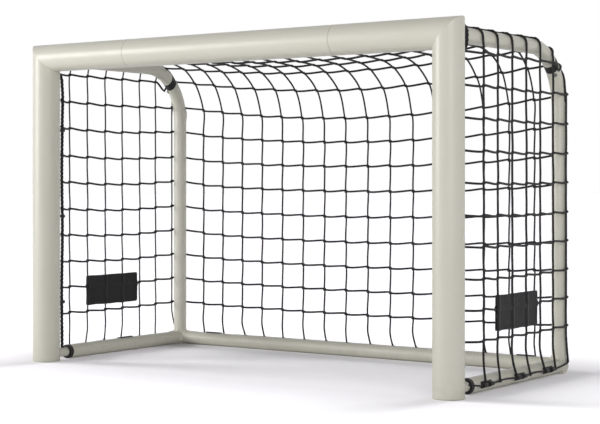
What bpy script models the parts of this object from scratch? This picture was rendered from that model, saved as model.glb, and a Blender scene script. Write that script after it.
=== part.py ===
"""Small training goal: round posts and crossbar in front, a lighter tube frame behind, and a net.

The goal stands on the ground plane Z = 0. +X runs along the crossbar and +Y runs to the back,
so that the open mouth faces -Y. The origin lies on the ground under the middle of the goal.
All sizes are metres.
"""

import bpy
import bmesh
from math import asin, atan2, ceil, cos, pi, radians, sin, sqrt, tan
from mathutils import Matrix, Vector

# Front frame
MOUTH_WIDTH = 1.200
MOUTH_HEIGHT = 0.800
POST_DIAMETER = 0.075
POST_WALL = 0.002
POST_SIDES = 32
CROSSBAR_MIDDLE_LENGTH = 0.655

# Sleeves that join the three lengths of the crossbar
SLEEVE_LENGTH = 0.160
SLEEVE_WALL = 0.003
SLEEVE_SCREW_FROM_SEAM = 0.040

# Plugs in the bottom ends of the posts
FOOT_FLANGE = 0.002
FOOT_STEM = 0.025
FOOT_WALL = 0.003
FOOT_CHAMFER = 0.0005

# Rear frame
GOAL_DEPTH = 0.5795
TUBE_DIAMETER = 0.038
TUBE_WALL = 0.0015
TUBE_SIDES = 20
BEND_RADIUS = 0.150
TUBE_PHASE = pi / TUBE_SIDES
BEND_STEPS = 9

# Black joint piece in each bend
ELBOW_JOINT_ANGLE = radians(41.2)
ELBOW_COLLAR_LENGTH = 0.0245
ELBOW_FACE_LEAN = radians(22.0)
ELBOW_SPIGOT_LENGTH = 0.036
ELBOW_SCREW_FROM_COLLAR = 0.016
ELBOW_SCREW_TURN = radians(54.0)

# Joint between each post and its ground bar
GROUND_SPIGOT_DIAMETER = 0.025
GROUND_SPIGOT_WALL = 0.002
GROUND_SPIGOT_IN_BAR = 0.070
GROUND_SPIGOT_SIDES = 16
GROUND_JOINT_REACH = 0.0405
BUSH_FLANGE = 0.012
BUSH_CHAMFER = 0.0008
BUSH_PLUG_LENGTH = 0.045
GROUND_SCREW_IN_BAR = 0.012

# Three-way fittings at the rear corners on the ground
CORNER_ARM = 0.036
CORNER_SPIGOT_LENGTH = 0.028
CORNER_HUB = 0.0172
CORNER_FILLET = 0.015
CORNER_WEB = 0.016
CORNER_WEB_DEPTH_IN_ARM = 0.001
FILLET_STEPS = 4

# Self-tapping screws
SCREW_DIAMETER = 0.005
SCREW_HEAD_DIAMETER = 0.010
SCREW_HEAD_HEIGHT = 0.0022
SCREW_CROWN_DIAMETER = 0.007
SCREW_TIP_DIAMETER = 0.0025
SCREW_SIDES = 10

# Net
CORD = 0.004
COLUMNS_ACROSS = 14
COLUMNS_DEEP = 6
ROWS_SIDE = 8
ROWS_BACK = 7
ROWS_BEND = 3
ROWS_ROOF = 4
NET_FRONT_FROM_POST = 0.0214
TIED_ROW_COUNT = 2
SMALLEST_GAP_SIDE = 0.008

# How far the net hangs down midway between the side frames, and how it fades out towards them
ROOF_SAG = 0.041
LOW_BACK_SAG = 0.014
BEND_DRAW_IN = 0.010
SAG_SHAPE = 1.25

# Clips that hold the net on the ground bars; a long one reaches over the top of its bar
CLIP_WALL = 0.0025
CLIP_WIDTH = 0.052
CLIP_HOOK_WALL = 0.002
CLIP_LIP_RISE = 0.001
CLIP_LOWER_END = radians(-22.0)
SHORT_CLIP_UPPER_END = radians(24.0)
LONG_CLIP_UPPER_END = radians(104.0)
CLIP_STEP = radians(11.0)
FIRST_CLIP_FROM_BAR_END = 0.055
MIDDLE_CLIP_FROM_REAR_BAR = {-1: 0.251, 1: 0.2625}
LAST_CLIP_FROM_REAR_BAR = 0.1065
REAR_CLIP_FROM_SIDE_BAR = {-1: 0.1305, 1: 0.0955}

# Hooks that hold the front edge of the net on the posts and the crossbar
HOOK_BASE = 0.002
HOOK_BASE_WIDTH = 0.018
HOOK_STEM = 0.003
HOOK_LIP = 0.0025
HOOK_LIP_PAST_CORD = 0.0015
HOOK_THICKNESS = 0.008
LOWEST_HOOK_HEIGHT = 0.160
HIGHEST_HOOK_FROM_CROSSBAR = 0.1975
HOOKS_UP = 3
END_HOOK_FROM_POST = 0.1575
HOOKS_ACROSS = 4

# Bare label patches, one leaf on each face of each side net
LABEL_LENGTH = 0.215
LABEL_HEIGHT = 0.085
LABEL_THICKNESS = 0.0012
LABEL_CORNER = 0.006
LABEL_CORNER_STEPS = 3
LABEL_FROM_POST = 0.296
LABEL_ABOVE_GROUND = 0.1825

# Clearance between pieces that touch, and the angle from which an edge is drawn sharp
GAP = 0.0003
SHARP_ANGLE = radians(35.0)

# Sizes that follow from the ones above
POST_RADIUS = POST_DIAMETER / 2
POST_BORE = POST_RADIUS - POST_WALL
POST_X = (MOUTH_WIDTH + POST_DIAMETER) / 2
CROSSBAR_Z = MOUTH_HEIGHT + POST_RADIUS
SEAM_X = CROSSBAR_MIDDLE_LENGTH / 2
TUBE_RADIUS = TUBE_DIAMETER / 2
TUBE_BORE = TUBE_RADIUS - TUBE_WALL
TUBE_Z = TUBE_RADIUS
BEND_START_Y = GOAL_DEPTH - BEND_RADIUS
BEND_CENTRE_Z = CROSSBAR_Z - BEND_RADIUS
COLLAR_ANGLE = ELBOW_COLLAR_LENGTH / BEND_RADIUS
COLLAR_START = ELBOW_JOINT_ANGLE - COLLAR_ANGLE / 2
COLLAR_END = ELBOW_JOINT_ANGLE + COLLAR_ANGLE / 2
GAP_ANGLE = GAP / BEND_RADIUS
BEND_STEP = radians(90) / BEND_STEPS
NET_INNER = TUBE_RADIUS + CLIP_WALL + 2 * GAP
NET_MIDDLE = NET_INNER + CORD / 2
NET_OUTER = NET_INNER + CORD
CLIP_OUTER = NET_OUTER + GAP + CLIP_HOOK_WALL
BEND_NET_RADIUS = BEND_RADIUS + NET_MIDDLE
FRONT_NET_RADIUS = POST_RADIUS + NET_FRONT_FROM_POST
ROOF_FRONT_Y = sqrt(FRONT_NET_RADIUS ** 2 - NET_MIDDLE ** 2)
BUSH_Y = POST_RADIUS + GROUND_JOINT_REACH
BAR_FRONT_Y = BUSH_Y + BUSH_FLANGE
POST_Y = -(GOAL_DEPTH + CLIP_OUTER - POST_RADIUS) / 2

IVORY_COAT = ((0.640, 0.630, 0.555, 1.0), 0.38, 0.0)
IVORY_PLASTIC = ((0.600, 0.590, 0.520, 1.0), 0.55, 0.0)
BLACK_PLASTIC = ((0.020, 0.020, 0.020, 1.0), 0.45, 0.0)
BLACK_CORD = ((0.030, 0.030, 0.032, 1.0), 0.80, 0.0)
BLACK_FABRIC = ((0.018, 0.018, 0.020, 1.0), 0.90, 0.0)
ZINC = ((0.600, 0.610, 0.620, 1.0), 0.35, 1.0)
INNER_STEEL = ((0.450, 0.450, 0.450, 1.0), 0.45, 0.9)


def clear_scene():
    """Remove every object that the file holds."""
    for old in list(bpy.data.objects):
        bpy.data.objects.remove(old, do_unlink=True)


def make_material(name, finish):
    """A Principled material with a colour, a roughness and a metallic value."""
    colour, roughness, metallic = finish
    material = bpy.data.materials.new(name)
    material.use_nodes = True
    shader = material.node_tree.nodes["Principled BSDF"]
    shader.inputs["Base Color"].default_value = colour
    shader.inputs["Roughness"].default_value = roughness
    shader.inputs["Metallic"].default_value = metallic
    material.diffuse_color = colour
    return material


def add_empty(name, location):
    """An empty that carries the pieces of one frame."""
    empty = bpy.data.objects.new(name, None)
    empty.location = location
    bpy.context.scene.collection.objects.link(empty)
    return empty


def add_piece(name, bm, finish, parent=None, location=(0, 0, 0), rotation=(0, 0, 0)):
    """Turn a finished bmesh into a named object with its own material."""
    bmesh.ops.recalc_face_normals(bm, faces=bm.faces)
    mesh = bpy.data.meshes.new(name)
    bm.to_mesh(mesh)
    bm.free()
    mesh.shade_smooth()
    mesh.set_sharp_from_angle(angle=SHARP_ANGLE)
    mesh.materials.append(make_material(name, finish))
    piece = bpy.data.objects.new(name, mesh)
    bpy.context.scene.collection.objects.link(piece)
    piece.parent = parent
    piece.location = location
    piece.rotation_euler = rotation
    return piece


def add_tool(name, bm, parent=None, location=(0, 0, 0), rotation=(0, 0, 0)):
    """A hidden body that cuts or completes other pieces."""
    tool = add_piece(name, bm, INNER_STEEL, parent, location, rotation)
    tool.hide_render = True
    tool.display_type = 'WIRE'
    return tool


def use_tool(piece, tool, operation):
    """Cut a piece with a tool, or join the tool to it."""
    step = piece.modifiers.new(tool.name, 'BOOLEAN')
    step.object = tool
    step.operation = operation
    step.solver = 'EXACT'


def ring(centre, across, up, radius, sides, phase=0.0):
    """The corners of a regular polygon round a centre."""
    turns = [phase + 2 * pi * i / sides for i in range(sides)]
    return [centre + radius * (cos(t) * across + sin(t) * up) for t in turns]


def skin(loops, cyclic):
    """Faces between loops of points; a chain that isn't cyclic is closed by its end faces."""
    bm = bmesh.new()
    rows = [[bm.verts.new(point) for point in loop] for loop in loops]
    pairs = list(zip(rows, rows[1:]))
    if cyclic:
        pairs.append((rows[-1], rows[0]))
    for near, far in pairs:
        for i, corner in enumerate(near):
            after = (i + 1) % len(near)
            bm.faces.new((corner, near[after], far[after], far[i]))
    if not cyclic:
        bm.faces.new(rows[0])
        bm.faces.new(rows[-1])
    return bm


def turned(profile, sides, axis='Z', cyclic=False, phase=0.0):
    """A turned body: profile points are (distance along the axis, radius)."""
    frames = {
        'X': (Vector((1, 0, 0)), Vector((0, 1, 0)), Vector((0, 0, 1))),
        'Y': (Vector((0, 1, 0)), Vector((1, 0, 0)), Vector((0, 0, 1))),
        'Z': (Vector((0, 0, 1)), Vector((1, 0, 0)), Vector((0, 1, 0))),
    }
    along, across, up = frames[axis]
    return skin([ring(d * along, across, up, r, sides, phase) for d, r in profile], cyclic)


def tube(start, end, outer, bore, sides, axis):
    """A straight tube between two places on its axis."""
    return turned([(start, outer), (end, outer), (end, bore), (start, bore)], sides, axis, True)


def prism(outline, low, high, place):
    """A flat outline of (u, v) points, extruded; place turns (u, v, w) into a point."""
    return skin([[place(u, v, w) for u, v in outline] for w in (low, high)], False)


def plate_with_holes(outline, holes, thickness, place):
    """A flat outline with holes through it, filled and given a thickness."""
    bm = bmesh.new()
    for loop in [outline] + holes:
        corners = [bm.verts.new((u, v, 0)) for u, v in loop]
        for i, corner in enumerate(corners):
            bm.edges.new((corner, corners[(i + 1) % len(corners)]))
    bmesh.ops.triangle_fill(bm, edges=bm.edges, use_beauty=True, normal=(0, 0, 1))
    grown = bmesh.ops.extrude_face_region(bm, geom=bm.faces[:], use_keep_orig=True)
    for item in grown["geom"]:
        if isinstance(item, bmesh.types.BMVert):
            item.co.z += thickness
    for corner in bm.verts:
        corner.co = place(*corner.co)
    return bm


def clip_to_convex(polygon, region):
    """The part of a polygon inside a convex region; both run anticlockwise."""
    for a, b in zip(region, region[1:] + region[:1]):
        edge = (b[0] - a[0], b[1] - a[1])
        sides = [edge[0] * (v - a[1]) - edge[1] * (u - a[0]) for u, v in polygon]
        kept = []
        for i, point in enumerate(polygon):
            last = polygon[i - 1]
            if (sides[i] > 0) != (sides[i - 1] > 0):
                share = sides[i - 1] / (sides[i - 1] - sides[i])
                kept.append((last[0] + share * (point[0] - last[0]),
                             last[1] + share * (point[1] - last[1])))
            if sides[i] > 0:
                kept.append(point)
        polygon = kept
        if not polygon:
            return []
    return polygon


def area(polygon):
    """The area of a flat polygon."""
    pairs = zip(polygon, polygon[1:] + polygon[:1])
    return abs(sum(a[0] * b[1] - a[1] * b[0] for a, b in pairs)) / 2


def bend_centre(angle):
    """A place on the axis of a side frame's bend, and the direction away from the bend's centre."""
    outward = Vector((0, sin(angle), cos(angle)))
    return Vector((0, BEND_START_Y, BEND_CENTRE_Z)) + BEND_RADIUS * outward, outward


def bend_facet(angle):
    """A place on the straight axis between two steps of the bend, and the way out of it there."""
    step = min(int(angle / BEND_STEP), BEND_STEPS - 1)
    near, _ = bend_centre(step * BEND_STEP)
    far, _ = bend_centre((step + 1) * BEND_STEP)
    _, outward = bend_centre((step + 0.5) * BEND_STEP)
    return near.lerp(far, angle / BEND_STEP - step), outward


def face_tilt(radius, lean):
    """How far round the bend a leaning face runs ahead at the inside of the bend."""
    return tan(lean) * radius / BEND_RADIUS


def bend_ring(angle, radius, lean=0.0):
    """A cross-section of the bent tube, on its straight facets; a lean makes it stand steeper."""
    corners = []
    for i in range(TUBE_SIDES):
        phase = TUBE_PHASE + 2 * pi * i / TUBE_SIDES
        turn = angle - face_tilt(radius, lean) * sin(phase)
        step = min(int(turn / BEND_STEP), BEND_STEPS - 1)
        ends = []
        for edge in (step * BEND_STEP, (step + 1) * BEND_STEP):
            centre, outward = bend_centre(edge)
            ends.append(centre + radius * (cos(phase) * Vector((1, 0, 0)) + sin(phase) * outward))
        corners.append(ends[0].lerp(ends[1], turn / BEND_STEP - step))
    return corners


def bend_rings(start, end, radius, start_lean=0.0, end_lean=0.0):
    """The cross-sections where a piece of the bend starts, changes facet and ends."""
    low = start + face_tilt(radius, start_lean)
    high = end - face_tilt(radius, end_lean)
    inside = [step * BEND_STEP for step in range(1, BEND_STEPS)]
    middle = [bend_ring(angle, radius) for angle in inside if low < angle < high]
    return [bend_ring(start, radius, start_lean)] + middle + [bend_ring(end, radius, end_lean)]


def make_post(side, frame):
    """A post, cut at 45 degrees at the top where the crossbar is welded on."""
    def loops(radius):
        foot = ring(Vector((0, 0, FOOT_FLANGE + GAP)), Vector((1, 0, 0)), Vector((0, 1, 0)),
                    radius, POST_SIDES)
        top = [Vector((p.x, p.y, CROSSBAR_Z + side * p.x)) for p in foot]
        return [foot, top]
    chain = loops(POST_RADIUS) + loops(POST_BORE)[::-1]
    add_piece("post_" + SIDE_NAMES[side], skin(chain, True), IVORY_COAT, frame)


def make_crossbar_end(side, frame):
    """The short length of crossbar that is welded to a post."""
    seam = -side * (POST_X - SEAM_X - GAP / 2)

    def loops(radius):
        inner = ring(Vector((seam, 0, CROSSBAR_Z)), Vector((0, 0, 1)), Vector((0, 1, 0)),
                     radius, POST_SIDES)
        mitre = [Vector((side * (p.z - CROSSBAR_Z - GAP * sqrt(2)), p.y, p.z)) for p in inner]
        return [inner, mitre]
    chain = loops(POST_RADIUS) + loops(POST_BORE)[::-1]
    add_piece("crossbar_end_" + SIDE_NAMES[side], skin(chain, True), IVORY_COAT, frame)


def make_crossbar_middle(front):
    """The loose middle length of the crossbar."""
    half = SEAM_X - GAP / 2
    bm = tube(-half, half, POST_RADIUS, POST_BORE, POST_SIDES, 'X')
    return add_piece("crossbar_middle", bm, IVORY_COAT, front, (0, 0, CROSSBAR_Z))


def make_crossbar_sleeve(side, front):
    """The sleeve inside a seam of the crossbar."""
    outer = POST_BORE - GAP
    bm = tube(-SLEEVE_LENGTH / 2, SLEEVE_LENGTH / 2, outer, outer - SLEEVE_WALL, POST_SIDES, 'X')
    return add_piece("crossbar_sleeve_" + SIDE_NAMES[side], bm, INNER_STEEL, front,
                     (side * SEAM_X, 0, CROSSBAR_Z))


def make_post_foot(side, frame):
    """The plug that closes the bottom end of a post and stands on the ground."""
    stem = POST_BORE - GAP
    profile = [(0, POST_RADIUS - FOOT_CHAMFER), (FOOT_CHAMFER, POST_RADIUS),
               (FOOT_FLANGE, POST_RADIUS), (FOOT_FLANGE, stem),
               (FOOT_FLANGE + FOOT_STEM, stem), (FOOT_FLANGE + FOOT_STEM, stem - FOOT_WALL),
               (FOOT_FLANGE + FOOT_WALL, stem - FOOT_WALL)]
    add_piece("post_foot_" + SIDE_NAMES[side], turned(profile, POST_SIDES), IVORY_PLASTIC, frame)


def corner_surface(side, x, z):
    """How far the back of the mitred corner reaches behind the post's axis at a place."""
    rise = z - CROSSBAR_Z
    distance = side * x if rise < side * x else rise
    return sqrt(POST_RADIUS ** 2 - distance ** 2)


def make_top_bar(side, frame):
    """The bar from the corner of the front frame back to the black joint in the bend."""
    def loops(radius):
        flat = ring(Vector((0, 0, CROSSBAR_Z)), Vector((1, 0, 0)), Vector((0, 0, 1)),
                    radius, TUBE_SIDES, TUBE_PHASE)
        front = [Vector((p.x, corner_surface(side, p.x, p.z) + GAP, p.z)) for p in flat]
        return [front] + bend_rings(0, COLLAR_START - GAP_ANGLE, radius, 0.0, ELBOW_FACE_LEAN)
    chain = loops(TUBE_RADIUS) + loops(TUBE_BORE)[::-1]
    add_piece("top_bar_" + SIDE_NAMES[side], skin(chain, True), IVORY_COAT, frame)


def make_rear_upright(side, frame):
    """The tube from the black joint down to the fitting at the rear corner."""
    foot_z = TUBE_Z + CORNER_ARM + GAP

    def loops(radius):
        foot = ring(Vector((0, GOAL_DEPTH, foot_z)), Vector((1, 0, 0)), Vector((0, 1, 0)),
                    radius, TUBE_SIDES, TUBE_PHASE)
        arc = bend_rings(COLLAR_END + GAP_ANGLE, radians(90), radius, ELBOW_FACE_LEAN)
        return arc + [foot]
    chain = loops(TUBE_RADIUS) + loops(TUBE_BORE)[::-1]
    return add_piece("rear_upright_" + SIDE_NAMES[side], skin(chain, True), IVORY_COAT, frame)


def make_elbow_joint(side, frame):
    """The black piece in the bend: a collar with a curved spigot up each tube."""
    spigot = TUBE_BORE - GAP
    reach = ELBOW_SPIGOT_LENGTH / BEND_RADIUS
    lean = ELBOW_FACE_LEAN
    chain = bend_rings(COLLAR_START - reach, COLLAR_START, spigot, 0.0, lean)
    chain += bend_rings(COLLAR_START, COLLAR_END, TUBE_RADIUS, lean, lean)
    chain += bend_rings(COLLAR_END, COLLAR_END + reach, spigot, lean)
    return add_piece("elbow_joint_" + SIDE_NAMES[side], skin(chain, False), BLACK_PLASTIC, frame)


def make_ground_spigot(side, frame):
    """The thin tube that is welded behind the foot of a post and carries the ground bar."""
    end = BAR_FRONT_Y + GROUND_SPIGOT_IN_BAR

    def loops(radius):
        back = ring(Vector((0, end, TUBE_Z)), Vector((1, 0, 0)), Vector((0, 0, 1)),
                    radius, GROUND_SPIGOT_SIDES)
        front = [Vector((p.x, sqrt(POST_RADIUS ** 2 - p.x ** 2) + GAP, p.z)) for p in back]
        return [front, back]
    outer = GROUND_SPIGOT_DIAMETER / 2
    chain = loops(outer) + loops(outer - GROUND_SPIGOT_WALL)[::-1]
    return add_piece("ground_spigot_" + SIDE_NAMES[side], skin(chain, True), IVORY_COAT, frame)


def make_ground_bush(side, frame):
    """The black flanged bush in the front end of a ground bar."""
    plug = TUBE_BORE - GAP
    bore = GROUND_SPIGOT_DIAMETER / 2 + GAP
    profile = [(0, TUBE_RADIUS - BUSH_CHAMFER), (BUSH_CHAMFER, TUBE_RADIUS),
               (BUSH_FLANGE, TUBE_RADIUS), (BUSH_FLANGE, plug),
               (BUSH_FLANGE + BUSH_PLUG_LENGTH, plug), (BUSH_FLANGE + BUSH_PLUG_LENGTH, bore),
               (0, bore)]
    return add_piece("ground_bush_" + SIDE_NAMES[side], turned(profile, TUBE_SIDES, 'Y', True),
                     BLACK_PLASTIC, frame, (0, BUSH_Y, TUBE_Z))


def make_ground_bar(side, frame):
    """The side bar on the ground, from the bush to the rear corner."""
    bm = tube(BAR_FRONT_Y + GAP, GOAL_DEPTH - CORNER_ARM - GAP, TUBE_RADIUS, TUBE_BORE,
              TUBE_SIDES, 'Y')
    return add_piece("ground_bar_" + SIDE_NAMES[side], bm, IVORY_COAT, frame, (0, 0, TUBE_Z))


def make_rear_ground_bar(front):
    """The bar on the ground across the back."""
    half = POST_X - CORNER_ARM - GAP
    bm = tube(-half, half, TUBE_RADIUS, TUBE_BORE, TUBE_SIDES, 'X')
    return add_piece("rear_ground_bar", bm, IVORY_COAT, front, (0, GOAL_DEPTH, TUBE_Z))


def corner_arm(phase):
    """One arm of the fitting along +Z, with the spigot that goes inside the tube."""
    spigot = TUBE_BORE - GAP
    profile = [(-CORNER_HUB, TUBE_RADIUS), (CORNER_ARM, TUBE_RADIUS), (CORNER_ARM, spigot),
               (CORNER_ARM + CORNER_SPIGOT_LENGTH, spigot)]
    return turned(profile, TUBE_SIDES, phase=phase)


def corner_web():
    """A web with a hollow edge that fills the angle between two arms, in the first quadrant."""
    seat = sqrt(TUBE_RADIUS ** 2 - (CORNER_WEB / 2) ** 2) - CORNER_WEB_DEPTH_IN_ARM
    reach = seat + CORNER_FILLET
    arc = []
    for i in range(FILLET_STEPS + 1):
        turn = radians(90) * i / FILLET_STEPS
        arc.append((reach - CORNER_FILLET * sin(turn), reach - CORNER_FILLET * cos(turn)))
    outline = [(0, 0), (reach, 0)] + arc + [(0, reach)]
    return prism(outline, -CORNER_WEB / 2, CORNER_WEB / 2, lambda u, v, w: Vector((u, v, w)))


def make_rear_corner(side, frame):
    """The three-way fitting at a rear corner, with arms up, forwards and inwards."""
    place = (0, GOAL_DEPTH, TUBE_Z)
    name = "rear_corner_" + SIDE_NAMES[side]
    third = 2 * pi / TUBE_SIDES / 3
    corner = add_piece(name, corner_arm(0), IVORY_COAT, frame, place)
    inward = radians(-90 * side)
    flat = radians(180 if side > 0 else -90)
    across = (radians(90), 0, radians(180)) if side > 0 else (radians(90), 0, 0)
    parts = {"arm_forward": (corner_arm(third), (radians(90), 0, 0)),
             "arm_inward": (corner_arm(2 * third), (0, inward, 0)),
             "web_flat": (corner_web(), (0, 0, flat)),
             "web_across": (corner_web(), across),
             "web_along": (corner_web(), (radians(90), 0, radians(-90)))}
    for label, (body, rotation) in parts.items():
        use_tool(corner, add_tool(f"{name}_{label}", body, frame, place, rotation), 'UNION')


def screw_body(length):
    """A pan-head screw along -Z, with the underside of its head at the origin."""
    head = SCREW_HEAD_DIAMETER / 2
    shank = SCREW_DIAMETER / 2
    profile = [(-length, SCREW_TIP_DIAMETER / 2), (-length + shank, shank), (0, shank), (0, head),
               (SCREW_HEAD_HEIGHT / 2, head), (SCREW_HEAD_HEIGHT, SCREW_CROWN_DIAMETER / 2)]
    return turned(profile, SCREW_SIDES)


def drill_body(length):
    """The hole that a screw needs, from outside the tube to past the screw's tip."""
    hole = SCREW_DIAMETER / 2 + GAP
    return turned([(-length - SCREW_DIAMETER, hole), (SCREW_DIAMETER, hole)], SCREW_SIDES)


def add_screw(name, depth, through, parent, location, rotation):
    """A screw and the holes for it in the pieces that it goes through."""
    add_piece(name, screw_body(depth), ZINC, parent, location, rotation)
    drill = add_tool("drill_" + name, drill_body(depth), parent, location, rotation)
    for piece in through:
        use_tool(piece, drill, 'DIFFERENCE')


def make_net_clip(name, parent, location, turn, upper_end):
    """A clip on a ground bar: a saddle on the bar, and a hook outside it for the net."""
    inner = TUBE_RADIUS + GAP
    outer = inner + CLIP_WALL
    floor_top = -CORD / 2 - GAP
    floor_low = floor_top - CLIP_HOOK_WALL
    lip = NET_OUTER + GAP

    def arc(radius, start, end):
        steps = ceil(abs(end - start) / CLIP_STEP)
        turns = [start + (end - start) * i / steps for i in range(steps + 1)]
        return [(radius * cos(t), radius * sin(t)) for t in turns]
    outline = arc(inner, upper_end, CLIP_LOWER_END)
    outline += arc(outer, CLIP_LOWER_END, asin(floor_low / outer))
    outline += [(CLIP_OUTER, floor_low), (CLIP_OUTER, CLIP_LIP_RISE), (lip, CLIP_LIP_RISE),
                (lip, floor_top)]
    outline += arc(outer, asin(floor_top / outer), upper_end)
    bm = prism(outline, -CLIP_WIDTH / 2, CLIP_WIDTH / 2, lambda u, v, w: Vector((u, w, v)))
    add_piece(name, bm, BLACK_PLASTIC, parent, location, (0, 0, turn))


def make_net_hook(name, parent, location, rotation, lean=0.0):
    """A hook behind the front frame that reaches along +Y, with its lip on the +X side.

    lean is the angle between the hook and the sides of the net's square edge cord.
    """
    seat = CORD / 2 * (cos(lean) + sin(lean)) + GAP
    base = POST_RADIUS + GAP
    shelf = base + HOOK_BASE
    stem = -seat - HOOK_STEM
    lip = FRONT_NET_RADIUS + seat
    tip = CORD / 2 + HOOK_LIP_PAST_CORD
    wide = HOOK_BASE_WIDTH / 2
    outline = [(-wide, base), (wide, base), (wide, shelf), (-seat, shelf), (-seat, lip),
               (tip, lip), (tip, lip + HOOK_LIP), (stem, lip + HOOK_LIP), (stem, shelf),
               (-wide, shelf)]
    bm = prism(outline, -HOOK_THICKNESS / 2, HOOK_THICKNESS / 2, lambda u, v, w: Vector((u, v, w)))
    add_piece(name, bm, BLACK_PLASTIC, parent, location, rotation)


def lattice_cells(u_lines, v_lines, region=None):
    """The holes between the cords of a net; region is the convex space that holds them."""
    cells = []
    for left, right in zip(u_lines, u_lines[1:]):
        for low, high in zip(v_lines, v_lines[1:]):
            half = CORD / 2
            cell = [(left + half, low + half), (right - half, low + half),
                    (right - half, high - half), (left + half, high - half)]
            if region:
                cell = clip_to_convex(cell, region)
            if cell and area(cell) > SMALLEST_GAP_SIDE ** 2:
                cells.append(cell)
    return cells


def even_lines(start, end, count):
    """Evenly spaced places from a start to an end, with count spaces between them."""
    return [start + (end - start) * i / count for i in range(count + 1)]


def edge_points(u, v_lines):
    """Points up one edge of a net, above and below each cord that meets it."""
    return [(u, v + step) for v in v_lines for step in (-CORD / 2, CORD / 2)]


def row_points(u_lines, v):
    """Points along the lowest or highest row of a net, on both sides of each cord that meets it."""
    return [(u + step, v) for u in u_lines for step in (-CORD / 2, CORD / 2)]


def bend_rows():
    """The cords across the bend, as distances round it."""
    return even_lines(CORD / 2, BEND_NET_RADIUS * radians(90) - CORD / 2, ROWS_BEND)


def side_outline(inset):
    """The outline of a side net, drawn in by inset: along +Y, up, and round the bend."""
    rear = GOAL_DEPTH + NET_INNER - GAP - inset
    radius = BEND_RADIUS + NET_INNER - GAP - inset
    front = FRONT_NET_RADIUS - CORD / 2 + inset
    bottom = TUBE_Z - CORD / 2 + inset
    arc = [(BEND_START_Y + radius * sin(distance / BEND_NET_RADIUS),
            BEND_CENTRE_Z + radius * cos(distance / BEND_NET_RADIUS))
           for distance in reversed(bend_rows())]
    return [(front, bottom), (rear, bottom)] + arc + [(front, BEND_CENTRE_Z + radius)]


def make_side_net(side, frame):
    """The net on one side; its front edge runs in behind the post, between the two bars."""
    outline = side_outline(0)
    columns = even_lines(outline[0][0] + CORD / 2, outline[1][0] - CORD / 2, COLUMNS_DEEP)
    rows = even_lines(outline[0][1] + CORD / 2, outline[-1][1] - CORD / 2, ROWS_SIDE)
    outline += reversed(edge_points(outline[0][0], rows[1:-1]))
    drawn_in = rows[1:-TIED_ROW_COUNT]

    def place(y, z, depth):
        x = NET_INNER + depth
        behind_post = y < columns[0] + CORD
        between_bars = drawn_in[0] - CORD < z < drawn_in[-1] + CORD
        if behind_post and between_bars:
            x -= NET_MIDDLE
        return Vector((side * x, y, z))
    cells = lattice_cells(columns, rows, side_outline(CORD))
    bm = plate_with_holes(outline, cells, CORD, place)
    add_piece("net_" + SIDE_NAMES[side], bm, BLACK_CORD, frame)


def across_lines():
    """The cords of the roof and the back that run from front to back, over the whole width."""
    edge = POST_X + NET_MIDDLE
    return even_lines(-edge, edge, COLUMNS_ACROSS)


def make_flat_net(name, rows, front, place):
    """A flat net as wide as the goal."""
    columns = across_lines()
    outline = edge_points(columns[-1] + CORD / 2, rows)
    outline += reversed(row_points(columns[1:-1], rows[-1] + CORD / 2))
    outline += reversed(edge_points(columns[0] - CORD / 2, rows))
    outline += row_points(columns[1:-1], rows[0] - CORD / 2)
    bm = plate_with_holes(outline, lattice_cells(columns, rows), CORD, place)
    add_piece(name, bm, BLACK_CORD, front)


def sag_share(x):
    """The share of the sag at a place across the goal: all in the middle, none at the sides."""
    return max(0.0, 1 - (x / (POST_X + NET_MIDDLE)) ** 2) ** SAG_SHAPE


def make_roof_net(front):
    """The net over the top, from the crossbar to the start of the bends."""
    rows = even_lines(ROOF_FRONT_Y, BEND_START_Y - CORD / 2 - GAP, ROWS_ROOF)

    def place(x, y, depth):
        along = (y - ROOF_FRONT_Y) / (BEND_START_Y - ROOF_FRONT_Y)
        drop = 0.0 if y < rows[0] + CORD else ROOF_SAG * sin(radians(90) * along)
        return Vector((x, y, CROSSBAR_Z + NET_INNER + depth - drop * sag_share(x)))
    make_flat_net("net_roof", rows, front, place)


def make_bend_net(front):
    """The net round the bends, between the roof and the back."""
    def place(x, distance, depth):
        turn = distance / BEND_NET_RADIUS
        reach = BEND_RADIUS + NET_INNER + depth
        share = sag_share(x)
        return Vector((x, BEND_START_Y + reach * sin(turn) - BEND_DRAW_IN * sin(2 * turn) * share,
                       BEND_CENTRE_Z + reach * cos(turn) - ROOF_SAG * share))
    make_flat_net("net_bend", bend_rows(), front, place)


def make_back_net(front):
    """The upright net across the back; its lowest cord is straight, along the ground bar."""
    rows = even_lines(TUBE_Z, BEND_CENTRE_Z - CORD / 2 - GAP, ROWS_BACK)

    def place(x, z, depth):
        sag = LOW_BACK_SAG + (ROOF_SAG - LOW_BACK_SAG) * (z / BEND_CENTRE_Z) ** 2
        drop = 0.0 if z < rows[0] + CORD else sag * sag_share(x)
        return Vector((x, GOAL_DEPTH + NET_INNER + depth, z - drop))
    make_flat_net("net_back", rows, front, place)


def make_label(name, inner_face, side, frame):
    """A bare patch of doubled cloth on one face of a side net."""
    half_length = LABEL_LENGTH / 2 - LABEL_CORNER
    half_height = LABEL_HEIGHT / 2 - LABEL_CORNER
    outline = []
    for quarter, (u, v) in enumerate(((1, 1), (-1, 1), (-1, -1), (1, -1))):
        for i in range(LABEL_CORNER_STEPS + 1):
            turn = radians(90) * (quarter + i / LABEL_CORNER_STEPS)
            outline.append((u * half_length + LABEL_CORNER * cos(turn),
                            v * half_height + LABEL_CORNER * sin(turn)))
    bm = prism(outline, inner_face, inner_face + LABEL_THICKNESS,
               lambda u, v, w: Vector((side * w, u, v)))
    add_piece(name, bm, BLACK_FABRIC, frame, (0, LABEL_FROM_POST, LABEL_ABOVE_GROUND))


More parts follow.
